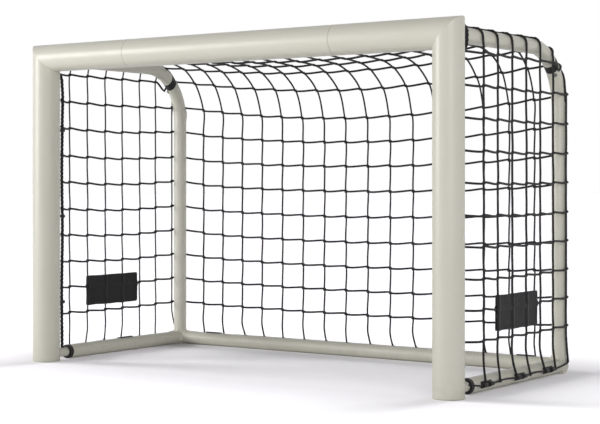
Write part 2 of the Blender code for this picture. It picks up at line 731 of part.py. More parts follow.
def make_side_frame(side):
    """Everything that stands in the plane of one post."""
    name = SIDE_NAMES[side]
    frame = add_empty("side_frame_" + name, (side * POST_X, POST_Y, 0))
    make_post(side, frame)
    make_crossbar_end(side, frame)
    make_post_foot(side, frame)
    make_top_bar(side, frame)
    upright = make_rear_upright(side, frame)
    elbow = make_elbow_joint(side, frame)
    spigot = make_ground_spigot(side, frame)
    bush = make_ground_bush(side, frame)
    bar = make_ground_bar(side, frame)
    make_rear_corner(side, frame)
    outward = (0, radians(90 * side), 0)
    seat = TUBE_RADIUS + GAP
    add_screw("ground_screw_" + name, TUBE_RADIUS - GROUND_SPIGOT_DIAMETER / 2
              + 2 * GROUND_SPIGOT_WALL, (bar, bush, spigot), frame,
              (side * seat, BAR_FRONT_Y + GROUND_SCREW_IN_BAR, TUBE_Z), outward)
    centre, out = bend_facet(COLLAR_END + ELBOW_SCREW_FROM_COLLAR / BEND_RADIUS)
    driven = side * cos(ELBOW_SCREW_TURN) * Vector((1, 0, 0)) - sin(ELBOW_SCREW_TURN) * out
    add_screw("elbow_screw_" + name, TUBE_RADIUS / 2, (upright, elbow), frame,
              centre + seat * driven, driven.to_track_quat('Z', 'Y').to_euler())
    make_side_net(side, frame)
    make_label("label_inner_" + name, NET_INNER - GAP - LABEL_THICKNESS, side, frame)
    make_label("label_outer_" + name, NET_OUTER + GAP, side, frame)
    middle_clip_end = SHORT_CLIP_UPPER_END if side > 0 else LONG_CLIP_UPPER_END
    stations = ((BAR_FRONT_Y + FIRST_CLIP_FROM_BAR_END, SHORT_CLIP_UPPER_END),
                (GOAL_DEPTH - MIDDLE_CLIP_FROM_REAR_BAR[side], middle_clip_end),
                (GOAL_DEPTH - LAST_CLIP_FROM_REAR_BAR, SHORT_CLIP_UPPER_END))
    for number, (y, upper_end) in enumerate(stations, 1):
        make_net_clip(f"net_clip_{name}_{number}", frame, (0, y, TUBE_Z),
                      0 if side > 0 else radians(180), upper_end)
    heights = even_lines(LOWEST_HOOK_HEIGHT, CROSSBAR_Z - HIGHEST_HOOK_FROM_CROSSBAR, HOOKS_UP - 1)
    for number, z in enumerate(heights, 1):
        make_net_hook(f"net_hook_{name}_{number}", frame, (0, 0, z), (0, radians(90 - 90 * side), 0))


def make_front_and_back():
    """Everything that runs across the goal."""
    front = add_empty("cross_frame", (0, POST_Y, 0))
    middle = make_crossbar_middle(front)
    for side, name in SIDE_NAMES.items():
        sleeve = make_crossbar_sleeve(side, front)
        add_screw("crossbar_screw_" + name, POST_WALL + SLEEVE_WALL + 2 * GAP + SCREW_DIAMETER,
                  (middle, sleeve), front,
                  (side * (SEAM_X - SLEEVE_SCREW_FROM_SEAM), POST_RADIUS + GAP, CROSSBAR_Z),
                  (radians(-90), 0, 0))
    make_rear_ground_bar(front)
    make_roof_net(front)
    make_bend_net(front)
    make_back_net(front)
    for number, (side, distance) in enumerate(REAR_CLIP_FROM_SIDE_BAR.items(), 1):
        make_net_clip(f"net_clip_rear_{number}", front,
                      (side * (POST_X - distance), GOAL_DEPTH, TUBE_Z), radians(90),
                      LONG_CLIP_UPPER_END)
    lean = atan2(NET_MIDDLE, ROOF_FRONT_Y)
    tilt = Matrix.Rotation(lean, 4, 'X') @ Matrix.Rotation(radians(-90), 4, 'Y')
    end_hook = POST_X - END_HOOK_FROM_POST
    for number, x in enumerate(even_lines(-end_hook, end_hook, HOOKS_ACROSS - 1), 1):
        make_net_hook(f"net_hook_crossbar_{number}", front, (x, 0, CROSSBAR_Z), tilt.to_euler(),
                      lean)


SIDE_NAMES = {-1: "left", 1: "right"}


def main():
    clear_scene()
    make_front_and_back()
    for side in SIDE_NAMES:
        make_side_frame(side)
    bpy.context.view_layer.update()


main()
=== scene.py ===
from math import cos, exp, pi, radians, sin

import bmesh
import bpy
from mathutils import Matrix, Vector, noise
from mathutils.kdtree import KDTree


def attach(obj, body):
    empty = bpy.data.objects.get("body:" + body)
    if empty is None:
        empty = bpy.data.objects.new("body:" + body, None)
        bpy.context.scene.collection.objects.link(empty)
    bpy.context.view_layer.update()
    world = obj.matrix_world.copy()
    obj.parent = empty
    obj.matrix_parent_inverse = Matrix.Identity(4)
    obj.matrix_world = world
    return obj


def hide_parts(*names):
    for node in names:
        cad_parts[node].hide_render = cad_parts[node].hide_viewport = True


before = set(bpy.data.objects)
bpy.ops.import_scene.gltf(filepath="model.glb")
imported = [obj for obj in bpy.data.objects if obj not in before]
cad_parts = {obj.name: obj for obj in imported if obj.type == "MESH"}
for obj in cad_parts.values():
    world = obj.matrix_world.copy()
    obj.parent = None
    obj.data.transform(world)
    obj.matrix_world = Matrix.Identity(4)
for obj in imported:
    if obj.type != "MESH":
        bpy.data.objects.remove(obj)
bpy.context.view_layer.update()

# The small irregularities of the net come out the same in every run
noise.seed_set(11)

RIGHT = Vector((1, 0, 0))
BACK = Vector((0, 1, 0))
UP = Vector((0, 0, 1))

# Tubes that carry the net; Y counts from the posts' axes
POST_X = 0.6375
POST_Y = -0.2852
POST_RADIUS = 0.0375
CROSSBAR_Z = 0.8375
# Painted shade on the crossbar's seams: full within the first distance of a seam, gone past the
# second, only above the given height
SEAM_X = 0.3275
SEAM_SHADE_CORE = 0.0004
SEAM_SHADE_REACH = 0.0016
SEAM_ABOVE = 0.78
DEPTH = 0.5795
ROPE_Y = 0.0615
TUBE_RADIUS = 0.019
TUBE_Z = 0.019
BEND_RADIUS = 0.15
BEND_START_Y = DEPTH - BEND_RADIUS
BEND_CENTRE_Z = CROSSBAR_Z - BEND_RADIUS
# Half the goal's footprint on the floor; the floor's painted glow grows from its edge
FOOTPRINT = (0.675, 0.323, 0)

# Straight tubes: a place on the axis and the way it runs
STRAIGHT_TUBES = {
    "post_left": ((-POST_X, 0, 0), UP),
    "post_right": ((POST_X, 0, 0), UP),
    "crossbar_end_left": ((0, 0, CROSSBAR_Z), RIGHT),
    "crossbar_end_right": ((0, 0, CROSSBAR_Z), RIGHT),
    "crossbar_middle": ((0, 0, CROSSBAR_Z), RIGHT),
    "ground_bar_left": ((-POST_X, 0, TUBE_Z), BACK),
    "ground_bar_right": ((POST_X, 0, TUBE_Z), BACK),
    "rear_ground_bar": ((0, DEPTH, TUBE_Z), RIGHT),
}
# The middle between neighbours round a tube is at least this share of the radius out
NEIGHBOURS = 0.985

SIDES = {-1: "left", 1: "right"}

# Net cord; the crosswise cords are the thicker ones
ROW_CORD = 0.0062
COLUMN_CORD = {-1: 0.0044, 0: 0.0052, 1: 0.0062}
BORDER_CORD = 0.0048
CORD_SIDES = 6
CORD_STEP = 0.0115
SIDE_OFFSET = 0.0228
WRAP_OFFSET = 0.022
BORDER_OFFSET = 0.0241
KNOT_REACH = 0.0042
ROW_JOG = 0.0036
COLUMN_JOG = 0.002
LACE_TURN = 10
KNOT_SIZE = 1.2
END_KNOT = 1.3
SIDE_FOOT_KNOT = 1.25
REAR_FOOT_KNOT = 1.15
SLACK = 0.0013
CORD_BEND = 0.3

# Where the cords cross, from front to back, from top to bottom and from left to right
SIDE_COLUMNS = {
    -1: (0.116, 0.1895, 0.2651, 0.3391, 0.4168, 0.4896),
    1: (0.1263, 0.197, 0.272, 0.347, 0.4236, 0.497),
}
CORNER_CORD = {-1: 0.5666, 1: 0.5735}
SIDE_ROWS = {
    -1: (0.7989, 0.7241, 0.6494, 0.5719, 0.4974, 0.4214, 0.3479, 0.2729, 0.1996, 0.1264),
    1: (0.7996, 0.7231, 0.6467, 0.5702, 0.4949, 0.4186, 0.3448, 0.2708, 0.1971, 0.1239),
}
SIDE_SAG = {
    -1: (0, 0.004, 0.007, 0.0075, 0.009, 0.0085, 0.009, 0.0068, 0.005, 0.0037),
    1: (0, 0.002, 0.003, 0.0035, 0.0035, 0.004, 0.004, 0.0055, 0.003, 0.0025),
}
STRIP_COLUMNS = (-0.637, -0.562, -0.487, -0.4123, -0.3382, -0.2635, -0.189, -0.1138, -0.0392,
                 0.0355, 0.1097, 0.1844, 0.2575, 0.33, 0.4065, 0.482, 0.5565, 0.632)
EDGE_COLUMN = {-1: STRIP_COLUMNS[0], 1: STRIP_COLUMNS[-1]}
ROOF_CORNERS = (0.125, 0.199, 0.274, 0.35, 0.426)
BEND_CORNERS = (radians(26.6), radians(48.2))
ROOF_MIDDLE = ((0.135, 0.8467), (0.21, 0.8377), (0.285, 0.8317), (0.363, 0.826), (0.44, 0.82),
               (0.495, 0.804), (0.561, 0.7565))
BACK_MIDDLE = ((0.5945, 0.6787), (0.6, 0.61), (0.6, 0.5405), (0.6, 0.469), (0.6, 0.3965),
               (0.6, 0.3238), (0.6, 0.2535), (0.6, 0.185), (0.5995, 0.1174))
SAG_POWERS = (1.15,) * 7 + (1.05, 0.85, 0.72) + (0.62,) * 6
STRIP_ROWS = len(ROOF_MIDDLE) + len(BACK_MIDDLE)
FRONT_ROW = (0.055, 0.8617)

# The lower edge: it lies in the clips beside the bars and rises over the bars between them
SIDE_FEET = {
    -1: (0.117, 0.181, 0.2545, 0.3325, 0.413, 0.491),
    1: (0.136, 0.208, 0.297, 0.367, 0.45, 0.508),
}
STRIP_FEET = (0, 0.004, 0.005, 0.014, 0.011, 0.005, 0.007, 0.009, 0.005, 0.011, 0.011, 0.0125,
              0.008, 0.008, 0.008, 0.006, 0.004, 0)
FOOT_BEND_Z = 0.072
BORDER_CLIPS = {-1: (0.145, 0.3285, 0.473), 0: (-0.507, 0.542), 1: (0.145, 0.317, 0.473)}
CLIP_HALF = 0.029
BORDER_RISE = {-1: radians(40), 0: radians(42), 1: radians(6)}
BORDER_RAMP = 0.045
BORDER_START = ((0.004, ROPE_Y + 0.004, 0.024), (0.018, 0.085, 0.022), (BORDER_OFFSET, 0.11, TUBE_Z))
CORNER_LOW = {-1: 0.035, 1: 0.027}
CORNER_HIGH = 0.0355

# Clips and hooks
CLIP_WIDTH = 0.052
CLIP_WALL = 0.0024
CLIP_LOWER_END = radians(-22)
KNUCKLE = 0.0185
HOOK_BASE = 0.018
HOOK_WALL = 0.0026
HOOK_TALL = 0.02
HOOK_WIDE = 0.0075
HOOK_EDGE = 0.0006
KNUCKLE_RADIUS = 0.0054
FIT = 0.0003
ROPE_REACH = 0.005
POST_HOOKS = (0.16, 0.4, 0.64)
POST_HOOK_REACH = 0.0622
POST_HOOK_LEAN = {-1: 0, 1: -0.055}
CROSSBAR_HOOKS = (-0.48, -0.16, 0.16, 0.48)
CROSSBAR_HOOK_REACH = 0.0596

# Bare patches, two leaves of cloth with the net between them
PATCH_Y = 0.296
PATCH_Z = 0.1825
PATCH_LENGTH = 0.215
PATCH_HEIGHT = 0.085
PATCH_CORNER = 0.006
PATCH_ROWS = (7, 8, 9)
CLOTH = 0.0007
HEM = 0.0085
HEM_RISE = 0.0005
STITCH = 0.0032
STITCH_STEP = 0.0046
STITCH_INSET = 0.006

# Three-strand rope round the mouth
ROPE_STRAND = 0.0023
ROPE_PITCH = 0.034
ROPE_STEP = 0.0045
ROPE_SWAYS = ((-0.0002, 0.016), (0.0013, 0.2), (-0.0012, 0.36), (0.001, 0.52), (-0.0007, 0.66),
              (-0.0002, 0.765))
ROPE_TURN = ((0.003, 0.059, 0.792), (0.019, 0.0478, 0.812), (0.0238, 0.043, 0.832),
             (0.0205, 0.0465, 0.85), (0.004, 0.053, 0.8628), (-0.03, 0.0548, 0.862))

# Two tones and the least roughness of each plastic and each metal
PLASTICS = {
    "ivory_plastic": ((0.56, 0.54, 0.45, 1), (0.61, 0.59, 0.5, 1), 0.48),
    "black_plastic": ((0.007, 0.007, 0.007, 1), (0.013, 0.013, 0.014, 1), 0.46),
}
METALS = {
    "zinc": ((0.66, 0.67, 0.68, 1), (0.5, 0.51, 0.52, 1), 0.28),
    "dull_zinc": ((0.2, 0.2, 0.19, 1), (0.1, 0.1, 0.1, 1), 0.5),
    "inner_steel": ((0.5, 0.5, 0.5, 1), (0.38, 0.37, 0.36, 1), 0.42),
}

# The finish of a node, by the first of these words in its name
NODE_FINISHES = (
    ("elbow_screw", "dull_zinc"), ("screw", "zinc"), ("sleeve", "inner_steel"),
    ("foot", "ivory_plastic"), ("clip", "black_plastic"), ("hook", "black_plastic"),
    ("bush", "black_plastic"), ("elbow", "black_plastic"), ("label", "black_fabric"),
    ("net", "black_cord"), ("", "ivory_coat"),
)


def at(x, y, z):
    """A place in the frame; Y counts from the posts' axes."""
    return Vector((x, y + POST_Y, z))


def wander(point, amount):
    """A small shift that is always the same at the same place."""
    return amount * noise.noise_vector(point * 29.0)


# Camera

def aim_camera():
    """The camera where the picture was taken from."""
    data = bpy.data.cameras.new("camera")
    data.lens = 91.59
    data.sensor_width = 36.0
    data.shift_y = -0.0516
    data.clip_start = 0.05
    data.clip_end = 60.0
    camera = new_object("camera", data)
    camera.location = (2.3708, -3.34, 0.4982)
    camera.rotation_euler = (radians(90), 0, radians(35.128))
    bpy.context.scene.camera = camera


# Materials

def new_group(name, results, **values):
    """An empty node group, with its inputs and its results."""
    group = bpy.data.node_groups.new(name, "ShaderNodeTree")
    for label, value in values.items():
        kind = "NodeSocketVector" if value is None else "NodeSocketFloat"
        socket = group.interface.new_socket(label, in_out='INPUT', socket_type=kind)
        if value is not None:
            socket.default_value = value
    for label in results:
        kind = "NodeSocketVector" if label == "Normal" else "NodeSocketFloat"
        group.interface.new_socket(label, in_out='OUTPUT', socket_type=kind)
    given = group.nodes.new("NodeGroupInput").outputs
    return group, given, group.nodes.new("NodeGroupOutput").inputs


def add_node(tree, kind, inputs=(), **settings):
    """A node with its settings; an input is a plain value or a socket to link from."""
    node = tree.nodes.new(kind)
    for name, value in settings.items():
        setattr(node, name, value)
    for key, value in dict(inputs).items():
        socket = node.inputs[key]
        if isinstance(value, bpy.types.NodeSocket):
            tree.links.new(value, socket)
        else:
            socket.default_value = value
    return node


def maths(tree, operation, *values):
    """The result of a Math node."""
    return add_node(tree, "ShaderNodeMath", enumerate(values), operation=operation).outputs[0]


def ramp(tree, value, low, high):
    """A value spread from nought at low to one at high."""
    node = add_node(tree, "ShaderNodeMapRange",
                    {"Value": value, "From Min": low, "From Max": high}, clamp=True)
    return node.outputs["Result"]


def mix_colour(tree, share, first, second):
    """Two colours mixed by a share."""
    node = add_node(tree, "ShaderNodeMix", {0: share, 6: first, 7: second}, data_type='RGBA',
                    clamp_factor=True)
    return node.outputs[2]


def split_place(tree, place):
    """The X, Y and Z of a place."""
    return add_node(tree, "ShaderNodeSeparateXYZ", {"Vector": place}).outputs


def cloud(tree, place, size, detail, rough):
    """A soft random pattern."""
    values = {"Vector": place, "Scale": size, "Detail": detail, "Roughness": rough}
    return add_node(tree, "ShaderNodeTexNoise", values).outputs["Fac"]


def bumped(tree, height, strength, depth):
    """The normal of a surface that follows a height."""
    values = {"Strength": strength, "Distance": depth, "Height": height}
    return add_node(tree, "ShaderNodeBump", values).outputs["Normal"]


def use_group(tree, name, **values):
    """The results of a node group used with these values."""
    return add_node(tree, "ShaderNodeGroup", values, node_tree=bpy.data.node_groups[name]).outputs


def patchy_group():
    """Slow, uneven changes, such as handling and dust leave."""
    group, given, result = new_group("patchy", ["Mask"], Place=None, Size=8.0, Low=0.4, High=0.7)
    spread = cloud(group, given["Place"], given["Size"], 5.0, 0.6)
    group.links.new(ramp(group, spread, given["Low"], given["High"]), result["Mask"])


def peel_group():
    """The fine waviness of a powder coat or a moulded surface."""
    group, given, result = new_group(
        "peel", ["Normal"], Place=None, Size=500.0, Strength=0.1, Depth=0.0002)
    height = cloud(group, given["Place"], given["Size"], 2.0, 0.5)
    group.links.new(bumped(group, height, given["Strength"], given["Depth"]), result["Normal"])


def dust_group():
    """Dust and dried splashes near the ground, fading out upwards."""
    group, given, result = new_group("dust", ["Mask"], Place=None, Height=0.12)
    rise = maths(group, 'DIVIDE', split_place(group, given["Place"])["Z"], given["Height"])
    fade = maths(group, 'MAXIMUM', maths(group, 'SUBTRACT', 1.0, rise), 0.0)
    fade = maths(group, 'POWER', fade, 2.0)
    grain = ramp(group, cloud(group, given["Place"], 60.0, 6.0, 0.7), 0.35, 0.75)
    group.links.new(maths(group, 'MULTIPLY', fade, grain), result["Mask"])


def braid_group():
    """Strands that wind both ways round a cord; the UV map runs along it in metres."""
    group, given, result = new_group("braid", ["Height"], UV=None, Pitch=0.006, Strands=4.0)
    split = split_place(group, given["UV"])
    along = maths(group, 'DIVIDE', split["X"], given["Pitch"])
    around = maths(group, 'MULTIPLY', split["Y"], given["Strands"])
    waves = []
    for way in ('ADD', 'SUBTRACT'):
        turn = maths(group, 'MULTIPLY', maths(group, way, around, along), 2 * pi)
        waves.append(maths(group, 'ABSOLUTE', maths(group, 'SINE', turn)))
    group.links.new(maths(group, 'MAXIMUM', *waves), result["Height"])


def weave_group():
    """A plain weave: threads that go over and under in turn, on two of the three directions."""
    group, given, result = new_group("weave", ["Height", "Checks"], Place=None, Thread=0.0009)
    split = split_place(group, given["Place"])
    waves = []
    for way in ("Y", "Z"):
        count = maths(group, 'DIVIDE', split[way], given["Thread"])
        waves.append(maths(group, 'SINE', maths(group, 'MULTIPLY', count, pi)))
    height = maths(group, 'MULTIPLY', *waves)
    group.links.new(maths(group, 'ABSOLUTE', height), result["Height"])
    group.links.new(ramp(group, height, -0.6, 0.6), result["Checks"])


def uneven(tree, place, size, low, high):
    """The mask of slow, uneven changes."""
    return use_group(tree, "patchy", Place=place, Size=size, Low=low, High=high)["Mask"]


def skin(tree, place, size, strength, depth):
    """The normal of a finely wavy surface."""
    return use_group(tree, "peel", Place=place, Size=size, Strength=strength, Depth=depth)["Normal"]


def start_material(name, **plain):
    """A material with plain values on its shader, its node tree and its Object coordinates."""
    material = bpy.data.materials.new(name)
    material.use_nodes = True
    tree = material.node_tree
    for label, value in plain.items():
        tree.nodes["Principled BSDF"].inputs[label.replace("_", " ")].default_value = value
    return material, tree, add_node(tree, "ShaderNodeTexCoord").outputs["Object"]


def end_material(material, colour, rough, normal):
    """Link colour, roughness and normal to a material's shader."""
    tree = material.node_tree
    inputs = tree.nodes["Principled BSDF"].inputs
    tree.links.new(colour, inputs["Base Color"])
    tree.links.new(rough, inputs["Roughness"])
    tree.links.new(normal, inputs["Normal"])
    return material


def coat_material():
    """Ivory powder coat: satin, a little uneven, with painted shade in its seams, dusty near the
    ground.
    """
    material, tree, place = start_material(
        "ivory_coat", Specular_IOR_Level=0.45, Coat_Weight=0.12, Coat_Roughness=0.22)
    tone = uneven(tree, place, 5.0, 0.3, 0.75)
    colour = mix_colour(tree, tone, (0.64, 0.625, 0.535, 1), (0.665, 0.652, 0.566, 1))
    dust = use_group(tree, "dust", Place=place, Height=0.1)["Mask"]
    colour = mix_colour(tree, maths(tree, 'MULTIPLY', dust, 0.3), colour, (0.36, 0.33, 0.27, 1))
    # Painted shade: a thin dark line on the crossbar where its lengths meet, standing in for the
    # shade in each seam's gap
    split = split_place(tree, place)
    off_seam = maths(tree, 'SUBTRACT', maths(tree, 'ABSOLUTE', split["X"]), SEAM_X)
    off_seam = ramp(tree, maths(tree, 'ABSOLUTE', off_seam), SEAM_SHADE_CORE, SEAM_SHADE_REACH)
    on_bar = maths(tree, 'GREATER_THAN', split["Z"], SEAM_ABOVE)
    share = maths(tree, 'MULTIPLY', maths(tree, 'SUBTRACT', 1.0, off_seam), on_bar)
    share = maths(tree, 'MULTIPLY', share, 0.55)
    colour = mix_colour(tree, share, colour, (0.3, 0.28, 0.22, 1))
    scuffs = uneven(tree, place, 38.0, 0.45, 0.8)
    rough = maths(tree, 'MULTIPLY_ADD', scuffs, 0.14, 0.36)
    rough = maths(tree, 'MULTIPLY_ADD', dust, 0.3, rough)
    return end_material(material, colour, rough, skin(tree, place, 420.0, 0.18, 0.0004))


def cord_material():
    """Black polyethylene cord, braided or laid, a little grey where it has faded, with painted shade
    in the grooves between its strands.
    """
    material, tree, place = start_material(
        "black_cord", Specular_IOR_Level=0.2, Sheen_Weight=0.05, Sheen_Roughness=0.5)
    uv = add_node(tree, "ShaderNodeUVMap", uv_map="UVMap").outputs["UV"]
    plait = use_group(tree, "braid", UV=uv, Pitch=0.0066, Strands=2.0)["Height"]
    faded = uneven(tree, place, 16.0, 0.35, 0.7)
    colour = mix_colour(tree, faded, (0.014, 0.014, 0.015, 1), (0.026, 0.026, 0.028, 1))
    # Painted shade: the grooves between the braid's strands are made darker
    colour = mix_colour(tree, ramp(tree, plait, 0.2, 0.9), (0.006, 0.006, 0.006, 1), colour)
    rough = maths(tree, 'MULTIPLY_ADD', faded, 0.12, 0.55)
    return end_material(material, colour, rough, bumped(tree, plait, 0.6, 0.0004))


def cloth_material():
    """Black coated polyester of the patches, with its weave just showing."""
    material, tree, place = start_material(
        "black_fabric", Specular_IOR_Level=0.2, Sheen_Weight=0.12, Sheen_Roughness=0.4)
    threads = use_group(tree, "weave", Place=place, Thread=0.0009)
    worn = uneven(tree, place, 22.0, 0.35, 0.75)
    colour = mix_colour(tree, threads["Checks"], (0.01, 0.01, 0.011, 1), (0.016, 0.016, 0.018, 1))
    colour = mix_colour(tree, maths(tree, 'MULTIPLY', worn, 0.5), colour, (0.026, 0.026, 0.027, 1))
    rough = maths(tree, 'MULTIPLY_ADD', worn, 0.15, 0.6)
    return end_material(material, colour, rough, bumped(tree, threads["Height"], 0.5, 0.0002))


def two_tone_material(name, spots, dark, light, rough, wave, **plain):
    """Plastic or metal: a finely wavy surface with rubbed or dull spots."""
    material, tree, place = start_material(name, **plain)
    mask = uneven(tree, place, *spots)
    rough = maths(tree, 'MULTIPLY_ADD', mask, *rough)
    return end_material(material, mix_colour(tree, mask, dark, light), rough,
                        skin(tree, place, *wave, 0.0002))


def plastic_material(name, dark, light, rough):
    """Moulded plastic, finely textured, with slightly rubbed places."""
    return two_tone_material(
        name, (45.0, 0.42, 0.72), dark, light, (0.16, rough), (1500.0, 0.25), Specular_IOR_Level=0.3)


def metal_material(name, bright, dull, rough):
    """Zinc plate or bare steel, with a few duller places."""
    return two_tone_material(
        name, (90.0, 0.4, 0.7), bright, dull, (0.2, rough), (900.0, 0.15), Metallic=1.0)


def make_materials():
    """Every finish of the goal, by its name."""
    for make_group in (patchy_group, peel_group, dust_group, braid_group, weave_group):
        make_group()
    made = {"ivory_coat": coat_material(), "black_cord": cord_material(),
            "black_fabric": cloth_material()}
    made.update({name: plastic_material(name, *look) for name, look in PLASTICS.items()})
    made.update({name: metal_material(name, *look) for name, look in METALS.items()})
    return made


def finish_of(name):
    """The finish that a node of the frame gets."""
    return next(finish for words, finish in NODE_FINISHES if words in name)


def dress_cad_nodes(materials):
    """Give every node of the frame the full finish of its kind."""
    for name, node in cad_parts.items():
        node.data.materials.clear()
        node.data.materials.append(materials[finish_of(name)])


# Pieces

def new_object(name, data):
    """An object in the scene, with its data."""
    piece = bpy.data.objects.new(name, data)
    bpy.context.scene.collection.objects.link(piece)
    return piece


def enter_piece(piece, slot, *nodes):
    """Make an object a piece of the goal, in place of some nodes."""
    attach(piece, "root")
    if nodes:
        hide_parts(*nodes)


def deselect():
    """Select nothing."""
    bpy.ops.object.select_all(action='DESELECT')


def select_only(piece):
    """Make one object the selected and the active one."""
    deselect()
    piece.select_set(True)
    bpy.context.view_layer.objects.active = piece


def edit_all():
    """Edit the active mesh, with all of it selected."""
    bpy.ops.object.mode_set(mode='EDIT')
    bpy.ops.mesh.select_all(action='SELECT')


def end_edit():
    """Leave edit mode."""
    bpy.ops.object.mode_set(mode='OBJECT')


def round_off(mesh, centre, axis):
    """Give a straight tube four times as many sides, with the new points on its circles."""
    def spoke(place):
        arm = place - centre
        return arm - arm.dot(axis) * axis

    bm = bmesh.new()
    bm.from_mesh(mesh)
    for _ in range(2):
        chords = []
        for edge in bm.edges:
            near, far = (vertex.co for vertex in edge.verts)
            middle = (near + far) / 2
            rim = spoke(near).length
            level = abs(rim - spoke(far).length) < 0.00001
            if level and NEIGHBOURS * rim < spoke(middle).length < rim:
                chords.append((middle, rim))
        tree = KDTree(len(chords))
        for number, chord in enumerate(chords):
            tree.insert(chord[0], number)
        tree.balance()
        bmesh.ops.subdivide_edges(bm, edges=bm.edges, cuts=1, use_grid_fill=True)
        for vertex in bm.verts:
            _, number, gap = tree.find(vertex.co)
            if gap < 0.000001:
                arm = spoke(vertex.co)
                vertex.co += arm * (chords[number][1] / arm.length - 1)
    bm.to_mesh(mesh)
    bm.free()


def smooth_frame():
    """Merged copies of the rigid parts with round shading; each stands for its part."""
    for name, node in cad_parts.items():
        if "net" in name or "label" in name:
            continue
        piece = new_object(name + "_smooth", node.data.copy())
        select_only(piece)
        edit_all()
        bpy.ops.mesh.remove_doubles(threshold=0.00002)
        end_edit()
        bpy.ops.mesh.customdata_custom_splitnormals_clear()
        if name in STRAIGHT_TUBES:
            place, axis = STRAIGHT_TUBES[name]
            round_off(piece.data, at(*place), axis)
        bpy.ops.object.shade_smooth_by_angle(angle=radians(32))
        enter_piece(piece, finish_of(name).replace("dull_", ""), name)


# Cords and knots

def start_cords():
    """An empty mesh for cords, with a UV map."""
    bm = bmesh.new()
    bm.loops.layers.uv.new("UVMap")
    return bm


def end_mesh(name, bm):
    """The mesh that was made in bm."""
    mesh = bpy.data.meshes.new(name)
    bm.to_mesh(mesh)
    bm.free()
    return mesh


def add_tube(bm, points, radius, sides=CORD_SIDES, closed=False):
    """A round cord along points; its UV map runs along it in metres and once round it."""
    uv = bm.loops.layers.uv["UVMap"]
    count = len(points)
    spans = [(points[(i + 1) % count] - points[i]).length for i in range(count)]
    normal = None
    rings = []
    for i, point in enumerate(points):
        before = points[i - 1] if i or closed else point
        after = points[(i + 1) % count] if i + 1 < count or closed else point
        ahead = (after - before).normalized()
        if normal is None:
            normal = (UP if abs(ahead.z) < 0.9 else BACK).cross(ahead)
        normal = (normal - normal.dot(ahead) * ahead).normalized()
        across = ahead.cross(normal)
        turns = [2 * pi * s / sides for s in range(sides)]
        rings.append([bm.verts.new(point + radius * (cos(t) * normal + sin(t) * across))
                      for t in turns])
    reached = 0.0
    for i in range(count if closed else count - 1):
        near, far = rings[i], rings[(i + 1) % count]
        for s in range(sides):
            after = (s + 1) % sides
            face = bm.faces.new((near[s], near[after], far[after], far[s]))
            face.smooth = True
            corners = ((0, s), (0, s + 1), (1, s + 1), (1, s))
            for loop, (step, turn) in zip(face.loops, corners):
                loop[uv].uv = (reached + step * spans[i], turn / sides)
        reached += spans[i]
    if not closed:
        bm.faces.new(rings[0][::-1])
        bm.faces.new(rings[-1])


def loose(places):
    """Places on a cord with no knot in them, as stops."""
    return [(place, False) for place in places]


def cord_points(stops, jog=Vector((0, 0, 0)), slack=SLACK):
    """Points along a cord: it bends softly between knots and steps aside in each."""
    guides = []
    for n, (place, tied) in enumerate(stops):
        last = stops[max(n - 1, 0)][0]
        after = stops[min(n + 1, len(stops) - 1)][0]
        ahead = (after - last).normalized()
        if tied and 0 < n < len(stops) - 1:
            guides.append((place - KNOT_REACH * ahead - jog / 2, ahead))
            guides.append((place + KNOT_REACH * ahead + jog / 2, ahead))
        else:
            guides.append((place, ahead))
    points = [guides[0][0]]
    for (near, leaving), (far, arriving) in zip(guides, guides[1:]):
        length = (far - near).length
        steps = max(1, round(length / CORD_STEP))
        sway = wander((near + far) / 2, slack) + Vector((0, 0, -slack / 2))
        pulls = near + leaving * length * CORD_BEND, far - arriving * length * CORD_BEND
        for i in range(1, steps):
            share = i / steps
            rest = 1 - share
            place = rest ** 3 * near + share ** 3 * far
            place += 3 * share * rest * (rest * pulls[0] + share * pulls[1])
            points.append(place + 4 * share * rest * sway * min(1.0, length / 0.05))
        points.append(far)
    return points


def make_knot():
    """The knot that all others are copies of, as a mesh round the origin in the XY plane."""
    wide, tall, steps = 0.0021, 0.0014, 15
    points = []
    for i in range(steps):
        t = 2 * pi * i / steps
        reach = wide + tall * cos(3 * t)
        points.append(Vector((reach * cos(2 * t), reach * sin(2 * t), -tall * sin(3 * t))))
    bm = start_cords()
    add_tube(bm, points, 0.0017, 4, closed=True)
    bmesh.ops.recalc_face_normals(bm, faces=bm.faces)
    return end_mesh("knot", bm)


def facing(place, along, out):
    """The matrix that takes a shape to a place, with its X along and its Z out."""
    return Matrix.Translation(place) @ Matrix((along, out.cross(along), out)).transposed().to_4x4()


def add_copy(bm, mesh, matrix):
    """Add a copy of a mesh, moved by a matrix."""
    copy = mesh.copy()
    copy.transform(matrix)
    bm.from_mesh(copy)
    bpy.data.meshes.remove(copy)


def add_knot(bm, knot, place, out, along, size=KNOT_SIZE):
    """A copy of the knot at a crossing; out is the way the net faces."""
    out = out.normalized()
    along = (along - along.dot(out) * out).normalized()
    add_copy(bm, knot, facing(place, along, out) @ Matrix.Scale(size, 4))


def finish_piece(name, bm, material, slot, *nodes):
    """Turn cords into a piece of the goal."""
    mesh = end_mesh(name, bm)
    mesh.materials.append(material)
    piece = new_object(name, mesh)
    enter_piece(piece, slot, *nodes)
    return piece


# The net

def bend_axis(angle):
    """A place on the axis of a bend, with Y from the posts' axes, and the way out of it."""
    out = Vector((0, sin(angle), cos(angle)))
    return Vector((0, BEND_START_Y, BEND_CENTRE_Z)) + BEND_RADIUS * out, out


def beside(side, y, z):
    """A place on the middle of a side net."""
    return at(side * (POST_X + SIDE_OFFSET), y, z)


def wrap(side, centre, out, start=0.0, end=90.0, steps=4):
    """Places round a tube of a side frame, from its outer side to its top or back."""
    places = []
    for i in range(steps + 1):
        turn = radians(start + (end - start) * i / steps)
        offset = WRAP_OFFSET * (cos(turn) * side * RIGHT + sin(turn) * out)
        places.append(at(side * POST_X, centre.y, centre.z) + offset)
    return places


